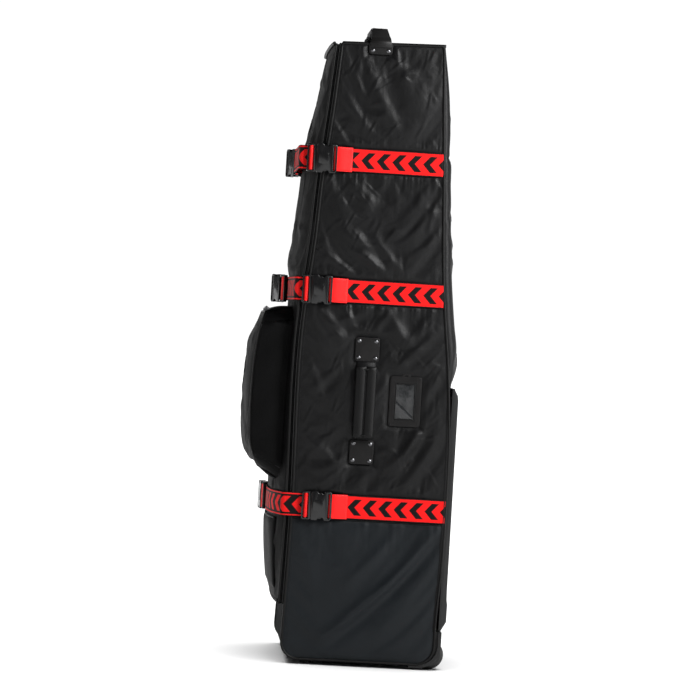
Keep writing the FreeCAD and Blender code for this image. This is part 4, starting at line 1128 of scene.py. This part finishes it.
def side_webbing(level, height, mouth, back_end):
    """Webbing on the near side, looped through the socket's bar, and on the far side up to the hinge."""
    def at(points):
        return [(HALF + x, y, height) for x, y in points]

    bar = SOCKET - mouth - 0.002
    mid_x = BUCKLE_STAND + SOCKET_THICK / 2
    path = at([(0.0018, back_end), (0.0026, back_end - 0.06), (0.0022, back_end - 0.12),
               (0.0024, bar + 0.050),
               (0.0032, bar + 0.030), (0.0058, bar + 0.010), (mid_x - 0.0014, bar - 0.001)])
    side = ribbon(f"side_webbing_{level}_right", path, (1, 0, 0), WEB_FACE, WEB_BACK, u0=0.004)
    path = at([(0.0046, bar + 0.034), (0.0058, bar + 0.028), (0.0092, bar + 0.012),
               (mid_x + 0.0030, bar + 0.002),
               (mid_x + 0.0018, bar - 0.0035), (mid_x, bar - 0.0045)])
    folded = ribbon(f"strap_fold_{level}_right", path, (1, 0, 0), WEB_PLAIN, WEB_PLAIN)
    line = [(HALF + 0.0058, bar + 0.0315, height + k) for k in np.linspace(-0.022, 0.022, 12)]
    sewn = [stitches(f"strap_bartack_{level}", line, (1, 0, 0), radius=0.0005)]
    for off in (WEB / 2 - 0.0022, -WEB / 2 + 0.0022):
        run = [(HALF + 0.0036, y, height + off) for y in np.linspace(back_end - 0.004, bar + 0.05, 30)]
        sewn.append(stitches(f"strap_stitch_{level}", run, (1, 0, 0), radius=0.0003))
    for o in (side, folded, join(f"strap_stitching_{level}", sewn)):
        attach(o, "shell")
    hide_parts(f"side_webbing_{level}_right")

    front_end = -0.082 if level == "top" else -0.106
    path = [(-HALF - 0.0018, y, height) for y in np.linspace(back_end, front_end, 12)]
    other = ribbon(f"side_webbing_{level}_left", path, (-1, 0, 0), WEB_FACE, WEB_BACK)
    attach(other, "shell")
    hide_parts(f"side_webbing_{level}_left")


def front_webbing(level, height, mouth, near, far, turn):
    """The front run between the ladders with its end loops, and the far part from socket to corner."""
    edge_y = float(door_edge(height))
    under = SOCKET_THICK / 2 + 0.0051
    ahead = min(-mouth - 0.030, edge_y - 0.004)
    run_x = HALF + BUCKLE_STAND + SOCKET_THICK - under
    path = [(run_x, -mouth - 0.0045, height), (run_x, -mouth - 0.0185, height),
            (run_x - 0.0002, -mouth - 0.0225, height),
            (HALF + 0.0015, ahead - 0.0022, height), (HALF - 0.012, ahead - 0.0056, height)]
    path += [(x, min(float(door_face(x, height)) - 0.0028, ahead - 0.0060), height)
             for x in (0.14, 0.10, 0.05, 0.0)]
    path += [tuple(far @ Vector((-under, y, 0))) for y in (-0.0240, -0.0185, -0.0045)]
    run = ribbon(f"front_webbing_{level}", path, (0.6, -0.8, 0), WEB_BACK, WEB_FACE, u0=0.011)
    weave = ((-0.0036, -0.0045), (-0.0028, -0.0080), (0.0046, -0.0100), (0.0050, -0.0118), (0.0046, -0.0132),
             (-0.0028, -0.0155), (-0.0034, -0.0175))
    loops = []
    for k, (place, way) in enumerate(((near, (1, 0, 0)), (far, (0.4, -1, 0)))):
        path = [tuple(place @ Vector((x - SOCKET_THICK / 2, y, 0))) for x, y in weave]
        loops.append(ribbon(f"strap_loop{k}_{level}", path, way, WEB_PLAIN, WEB_PLAIN, thick=0.0014))
    for o in (run, join(f"strap_loops_{level}", loops)):
        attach(o, f"strap_{level}")
    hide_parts(f"front_webbing_{level}")

    start = far @ Vector((-SOCKET_THICK / 2, SOCKET - 0.002, 0))
    stop = -0.104 if level == "top" else -0.121
    path = [tuple(start + turn @ Vector(v)) for v in ((0.001, -0.004, 0), (0, 0, 0), (-0.003, 0.008, 0))]
    path += [(x, y, height) for x,
             y in ((-0.152, (start.y + edge_y) / 2 - 0.006), (-HALF + 0.002, edge_y - 0.0045),
                                         (-HALF - 0.0042, edge_y - 0.0008),
                                         (-HALF - 0.0048, min(edge_y + 0.006, stop)),
                                         (-HALF - 0.0046, stop + 0.001))]
    run = ribbon(f"corner_webbing_{level}", path, (-0.3, -1, 0), WEB_BACK, WEB_FACE)
    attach(run, f"strap_{level}")


def straps():
    for level, height in LEVELS.items():
        mouth = MOUTH[level]
        near = Matrix.Translation((HALF + BUCKLE_STAND + SOCKET_THICK, -mouth, height))
        low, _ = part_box(f"buckle_socket_{level}_left")
        tilt = math.radians(FAR_TILT[level])
        turn = Matrix.Rotation(math.radians(270) + tilt, 4, "Z") @ Matrix.Rotation(math.pi, 4, "X")
        # the CAD box's frontmost edge is the socket's far outer edge, one socket length from its mouth
        far = Matrix.Translation((-0.07, low.y + SOCKET * math.sin(tilt), height)) @ turn
        buckles(level, near, far)
        side_webbing(level, height, mouth, float(back_line(height)) - 0.001)
        front_webbing(level, height, mouth, near, far, turn)
        # the short piece across the door's hinge, from the shell's far edge to the door's
        a, b = (-0.0815, -0.1045) if level == "top" else (-0.1055, -0.1215)
        path = [(-HALF - x, y, height) for x, y in ((0.0018, a + 0.006), (0.0020, a), (0.0034, (a + b) / 2),
                                                    (0.0046, b), (0.0046, b - 0.005))]
        bridge = ribbon(f"hinge_webbing_{level}", path, (-1, 0, 0), WEB_FACE, WEB_BACK)
        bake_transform(bridge)


# ------------------------------------------------------------------ handles and address window
def dome(name, centre, radius, height, material):
    """A domed rivet head that faces +X, with a thin flange."""
    rows = [(radius * 1.18, 0.0), (radius * 1.18, 0.0004), (radius, 0.0006), (radius * 0.86, height * 0.6),
            (radius * 0.55, height * 0.92), (radius * 0.2, height)]
    verts, n = [], 20
    for r, h in rows:
        verts += [(centre[0] + h, centre[1] + r * math.cos(a), centre[2] + r * math.sin(a))
                  for a in np.arange(n) * 2 * math.pi / n]
    faces = grid_faces(len(rows), n, False, True)
    faces += [tuple(range((len(rows) - 1) * n, len(rows) * n)), tuple(reversed(range(n)))]
    return link(name, verts, faces, material)


def patch(name, y, z, half_y, half_z, x0, thick, corners, top_in=0.0):
    """A stitched, riveted patch on the side. top_in narrows its upper edge."""
    outline = rounded(y - half_y, y + half_y, z - half_z, z + half_z, 0.006, 5)
    if top_in:
        outline = [(y + (a - y) * (1 - top_in * (b - z + half_z) / (2 * half_z)), b) for a, b in outline]
    plate = slab(f"{name}_plate", outline, x0, x0 + thick, "x", LEATHER, 0.0009)
    inner = [(x0 + thick + 0.0001, y + (a - y) * 0.88, z + (b - z) * 0.88) for a, b in outline]
    parts = [plate, stitches(f"{name}_stitch", inner, (1, 0, 0), closed=True)]
    rivets = [dome(f"{name}_rivet", (x0 + thick - 0.0002, a, b), 0.0036, 0.0020, DARK_METAL) for a,
              b in corners]
    return parts, rivets


def grip_shape(name, start, end, side, out, width, lift, material):
    """A two-rib grip between two points: side is its width direction, out the way that it stands off."""
    a, b = np.array(start, float), np.array(end, float)
    side, out = np.array(side, float), np.array(out, float)
    rows = 60
    across = np.concatenate([np.linspace(-1, 1, 27), np.linspace(1, -1, 15)[1:-1]])
    face = np.arange(len(across)) < 27
    verts = []
    for t in np.linspace(0, 1, rows):
        centre = a + (b - a) * t
        end_in = min(1, min(t, 1 - t) / 0.05)
        swell = 0.55 + 0.45 * math.sin(math.pi / 2 * end_in)
        for u, front in zip(across, face):
            lobe = math.sqrt(max(1 - ((abs(u) - 0.5) / 0.5) ** 2, 0))
            h = lift * (0.15 + 0.85 * lobe) if front else -lift * (1 - abs(u) ** 4)
            verts.append(centre + side * u * width * (0.95 + 0.05 * swell) + out * h * swell)
    n = len(across)
    faces = grid_faces(rows, n, False, True)
    faces += caps(rows, n)
    uv = [(i * 0.0025, j * 0.0022) for i in range(rows) for j in range(n)]
    return outward(link(name, verts, faces, material, uv))


def strip(name, path, step, widths, thick, material, cell=None, shoulder=0.97):
    """A flat strip along a path in the XZ plane. widths: half widths at its two ends. cell: its UV step."""
    pts = resample(path, step)
    side = np.array([0, 1.0, 0])
    n = np.cross(side, unit(np.gradient(pts, axis=0)))
    section = ((-1, 0.3), (-shoulder, 1), (shoulder, 1), (1, 0.3), (1, -0.3), (shoulder, -1),
               (-shoulder, -1), (-1, -0.3))
    verts = [q + side * u * w + m * h * thick for q, m, w in zip(pts, n, np.linspace(*widths, len(pts)))
             for u, h in section]
    uv = cell and [(i * cell[0], j * cell[1]) for i in range(len(pts)) for j in range(8)]
    return link(name, verts, grid_faces(len(pts), 8, False, True) + caps(len(pts), 8), material, uv)


def handles():
    hy = HANDLE_Y
    grip_in, grip_out = 0.185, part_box("side_handle_grip")[1].x
    middle_x = (grip_in + grip_out) / 2
    grip = grip_shape("side_grip", (middle_x, hy, 0.4725), (middle_x, hy, 0.6215), (0, 1, 0), (1, 0, 0),
                      0.022,
                      (grip_out - grip_in) / 2, GRIP)
    seam = stitches("side_grip_seam", [(grip_out - 0.0022, hy, z) for z in np.linspace(0.484, 0.610, 30)],
                    (1, 0, 0))
    round_grip = np.linspace(0, 2 * math.pi, 40)[:-1]
    binding = [tube(f"grip_end{k}",
                    [(middle_x + 0.0052 * math.sin(a), hy + 0.0205 * math.cos(a), z) for a in round_grip],
                    0.0016, PIPING, 6, True) for k, z in enumerate((0.4790, 0.6150))]
    whole = join("side_grip_cover", [grip, seam] + binding)
    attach(whole, "side_handle")
    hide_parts("side_handle_grip")

    for name, start, inner, stop in (("upper", 0.672, 0.634, 0.612), ("lower", 0.428, 0.466, 0.482)):
        k = 1 if name == "upper" else -1
        path = [(HALF + 0.0013, hy, start), (HALF + 0.0013, hy, start - k * 0.02), (HALF + 0.0014, hy, inner),
                (HALF + 0.0032, hy, inner - k * 0.006), (middle_x - 0.002, hy, stop + k * 0.004),
                (middle_x, hy, stop)]
        ob = strip(f"side_handle_web_{name}", path, 0.003, (0.019, 0.019), 0.001, WEB_BLACK, (0.003, 0.006))
        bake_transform(ob)
        if name == "upper":
            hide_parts("side_handle_strap")

    face = HALF + 0.0026
    plates, rivets = [], []
    for k, z in enumerate(PATCH_HEIGHTS):
        corners = [(hy + a * 0.0175, z + b * 0.0175) for a in (-1, 1) for b in (-1, 1)]
        p, r = patch(f"side_patch{k}", hy, z, PATCH_HALF, PATCH_HALF, face, 0.0025, corners)
        plates += p
        rivets += r
    side_patches = join("side_patches", plates)
    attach(side_patches, "shell")
    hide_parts("side_handle_patches")

    ty = TOP_HANDLE_Y
    corners = [(ty + a * 0.016, 1.272) for a in (-1, 1)]
    p, r = patch("top_patch", ty, 1.2765, 0.024, 0.0125, face, 0.0022, corners, top_in=-0.06)
    path = [(face + 0.0020, ty, 1.2785), (face + 0.0030, ty, 1.286), (face + 0.0018, ty, 1.292),
            (face - 0.006, ty, 1.2985), (0.162, ty, 1.3045), (0.140, ty, 1.3155), (0.126, ty, 1.3225)]
    tab = strip("top_tab", path, 0.002, (0.0225, 0.0155), 0.0011, LEATHER, shoulder=0.96)
    right = join("top_patch_right", p)
    left = mirror(right, "top_patch_left")
    for o in (right, left):
        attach(o, "shell")
    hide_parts("top_handle_patches")
    tab_left = mirror(tab, "top_tab_left")
    for o in (tab, tab_left):
        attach(o, "top_handle")
    top_rivets = join("top_rivets_right", r)
    all_rivets = join("rivets", rivets + [mirror(top_rivets, "top_rivets_left"), top_rivets])
    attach(all_rivets, "shell")
    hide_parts("handle_rivets")

    low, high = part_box("top_handle_grip")
    bar_z = (low.z + high.z) / 2
    top_grip = grip_shape("top_grip_cover", (-0.0595, ty, bar_z), (0.0595, ty, bar_z), (0, 1, 0), (0, 0, 1),
                          0.0155, 0.006, GRIP)
    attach(top_grip, "top_handle")
    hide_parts("top_handle_grip")
    path = [(HALF + 0.0013, ty, 1.2685), (HALF + 0.0013, ty, 1.287), (0.175, ty, 1.2945), (0.150, ty, 1.3085),
            (0.122, ty, 1.3215), (0.095, ty, 1.3245), (0.055, ty, bar_z)]
    path += [(-x, y, z) for x, y, z in path[::-1]]
    web = strip("top_handle_web", path, 0.004, (0.014, 0.014), 0.001, WEB_BLACK, (0.004, 0.005))
    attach(web, "top_handle")
    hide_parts("top_handle_strap")


def address_window():
    y, z, hy, hz = WINDOW
    outer = rounded(y - hy, y + hy, z - hz, z + hz, 0.006, 5)
    hole = rounded(y - 0.020, y + 0.020, z - 0.0365, z + 0.0365, 0.003, 4)
    plate = slab("id_plate", outer, HALF + 0.0008, HALF + 0.0034, "x", LEATHER, 0.0010, [hole])
    sewn = [stitches(name, [(HALF + 0.0036, y + (a - y) * in_y, z + (b - z) * in_z) for a, b in line],
                     (1, 0, 0), closed=True)
            for name, line, in_y, in_z in (("id_stitch", outer, 0.90, 0.93),
                                           ("id_stitch2", hole, 1.16, 1.09))]
    bead = tube("id_bead", resample([(HALF + 0.0032, a, b) for a, b in hole], 0.004, True), 0.0011, PIPING,
                6, True)
    tab = slab("id_tab", rounded(y - 0.009, y + 0.009, z + hz - 0.006, z + hz + 0.005, 0.004, 4),
               HALF + 0.0006, HALF + 0.0026, "x", LEATHER, 0.0006,
               [rounded(y - 0.003, y + 0.003, z + hz - 0.001, z + hz + 0.002, 0.0012, 3)])
    whole = join("address_frame", [plate] + sewn + [bead, tab])
    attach(whole, "shell")
    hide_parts("id_frame")
    card = slab("address_card", rounded(y - 0.022, y + 0.022, z - 0.038, z + 0.038, 0.001, 2),
                HALF + 0.0003, HALF + 0.0007, "x", CARD, 0.0)
    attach(card, "shell")
    a, b = np.meshgrid(np.linspace(-1, 1, 30), np.linspace(-1, 1, 50), indexing="ij")
    wave = 0.0009 * np.exp(-((a * 0.5 + b
                              + 0.55) / 0.08) ** 2) + 0.0006 * np.exp(-((a - b * 0.3 - 0.2) / 0.3) ** 2)
    x = HALF + 0.0012 + 0.0006 * (1 - a ** 2) * (1 - b ** 2) + wave * (1 - a ** 8) * (1 - b ** 8)
    film = surface("address_film", np.stack([x, y + a * 0.0215, z + b * 0.038], 2), FILM)
    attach(film, "shell")
    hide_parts("id_window")


# ------------------------------------------------------------------ base, spine and sliders
def hard_parts():
    looks = {"base_tray": SATIN, "front_feet": RUBBER, "spine_shell": SATIN, "axle_bolts": STEEL,
             "main_zip_tape": TAPE,
             "door_zip_tape": TAPE, "pocket_zip_slider": DARK_METAL, "pocket_zip_pull": DARK_METAL}
    for part, material in (("wheel_housing", SATIN), ("wheel_tyre", RUBBER), ("wheel_hub", HUB),
                           ("wheel_bearings", STEEL), ("main_zip_slider", DARK_METAL),
                           ("main_zip_pull", DARK_METAL)):
        looks[f"{part}_right"] = looks[f"{part}_left"] = material
    for name, material in looks.items():
        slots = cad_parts[name].data.materials
        if len(slots):
            for k in range(len(slots)):
                slots[k] = material
        else:
            slots.append(material)

    # rails: rounded bars with a step into each bumper
    y0 = 0.2113
    profile = [(y0, 0.075), (0.2145, 0.077), (0.2258, 0.097), (0.2260, 0.134), (0.2244, 0.142),
               (0.2238, 0.16),
               (0.2238, 0.560), (0.2224, 0.570), (0.2160, 0.5815), (y0, 0.583)]
    parts = []
    for k in (-1, 1):
        inner, outer = sorted((k * 0.108, k * 0.132))
        parts.append(slab(f"rail{k}", profile, inner, outer, "x", SATIN, 0.0028))
        for z in np.linspace(0.19, 0.53, 3):
            head = [(k * 0.12 + 0.0045 * math.cos(a), z + 0.0045 * math.sin(a)) for a in np.arange(16)
                    * math.pi / 8]
            parts.append(slab(f"rail_screw{k}", head, 0.2232, 0.2244, "y", DARK_METAL, 0.0005))
    rails = join("rails", parts)
    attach(rails, "shell")
    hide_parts("skid_rails")


# ------------------------------------------------------------------ light and camera
def area(name, size, energy, place, aim, size_y=None):
    lamp = bpy.data.lights.new(name, "AREA")
    lamp.energy = energy
    lamp.size = size
    if size_y:
        lamp.shape = "RECTANGLE"
        lamp.size_y = size_y
    ob = bpy.data.objects.new(name, lamp)
    scene.collection.objects.link(ob)
    ob.location = place
    ob.rotation_euler = (Vector(aim) - Vector(place)).to_track_quat("-Z", "Y").to_euler()
    return ob


def studio():
    """A plain pale floor, a pale backdrop behind the bag, and soft lamps."""
    m, nodes, links, bsdf = new_material("floor")
    bsdf.inputs["Base Color"].default_value = (0.9, 0.9, 0.9, 1)
    bsdf.inputs["Roughness"].default_value = 0.9
    bsdf.inputs["Specular IOR Level"].default_value = 0.1
    floor = surface("floor", np.array([[(-60.0, -60.0, 0.0), (-60.0, 60.0, 0.0)],
                                       [(60.0, -60.0, 0.0), (60.0, 60.0, 0.0)]]), m)
    world = bpy.data.worlds.new("studio")
    scene.world = world
    world.use_nodes = True
    nodes, links = world.node_tree.nodes, world.node_tree.links
    where = nodes.new("ShaderNodeTexCoord")
    split = nodes.new("ShaderNodeSeparateXYZ")
    links.new(where.outputs["Generated"], split.inputs[0])
    away = math_node(nodes, links, "MULTIPLY", split.outputs[0], -1.0)
    glow = ramp(nodes, links, away, [(0.90, (0.12, 0.12, 0.12)), (0.955, (1.05, 1.05, 1.05))])
    links.new(glow, nodes["Background"].inputs["Color"])
    scene.view_settings.view_transform = "Standard"
    sun = bpy.data.lights.new("sun", "SUN")
    sun.energy = 5.0
    sun.angle = math.radians(60)
    sun_ob = bpy.data.objects.new("sun", sun)
    scene.collection.objects.link(sun_ob)
    lamps = [area("key", 1.2, 215, (2.1, 2.2, 2.7), (0, 0, 1.2)),
             area("fill", 0.4, 6, (2.4, -2.2, 1.1), (0, 0, 0.7), size_y=2.0),
             area("low_side", 0.6, 7, (2.0, 1.9, 0.15), (0, 0, 0.3)),
             area("rim", 0.5, 60, (0.9, 2.6, 1.5), (0.1, 0.2, 0.85), size_y=1.6),
             area("front", 1.4, 26, (-0.6, -3.2, 1.9), (0, 0, 0.7))]
    # the floor takes only the broad light from above, and alone, so that its shadow stays under the bag
    for name, state, lit in (("all_but_floor", "EXCLUDE", lamps), ("floor_only", "INCLUDE", [sun_ob])):
        receivers = bpy.data.collections.new(name)
        receivers.objects.link(floor)
        receivers.collection_objects[0].light_linking.link_state = state
        for lamp in lit:
            lamp.light_linking.receiver_collection = receivers


def photo_camera():
    cam = bpy.data.cameras.new("camera")
    cam.sensor_width = 36
    cam.lens = 149.6
    cam.clip_end = 100
    ob = bpy.data.objects.new("camera", cam)
    scene.collection.objects.link(ob)
    azimuth, distance = math.radians(86.5), 6.0
    target = Vector((0.18, -0.0116, 0.653))
    place = target + Vector((math.sin(azimuth), -math.cos(azimuth), 0)) * distance
    place.z = 0.72
    look = (target - place).to_track_quat("-Z", "Y").to_matrix().to_4x4()
    ob.matrix_world = Matrix.Translation(place) @ look @ Matrix.Rotation(math.radians(3.4), 4, "Z")
    scene.camera = ob


shell_cloth()
shell_trim()
door_cloth()
zips()
pocket_lid(pocket_gusset())
lower_pocket()
straps()
handles()
address_window()
hard_parts()
studio()
photo_camera()
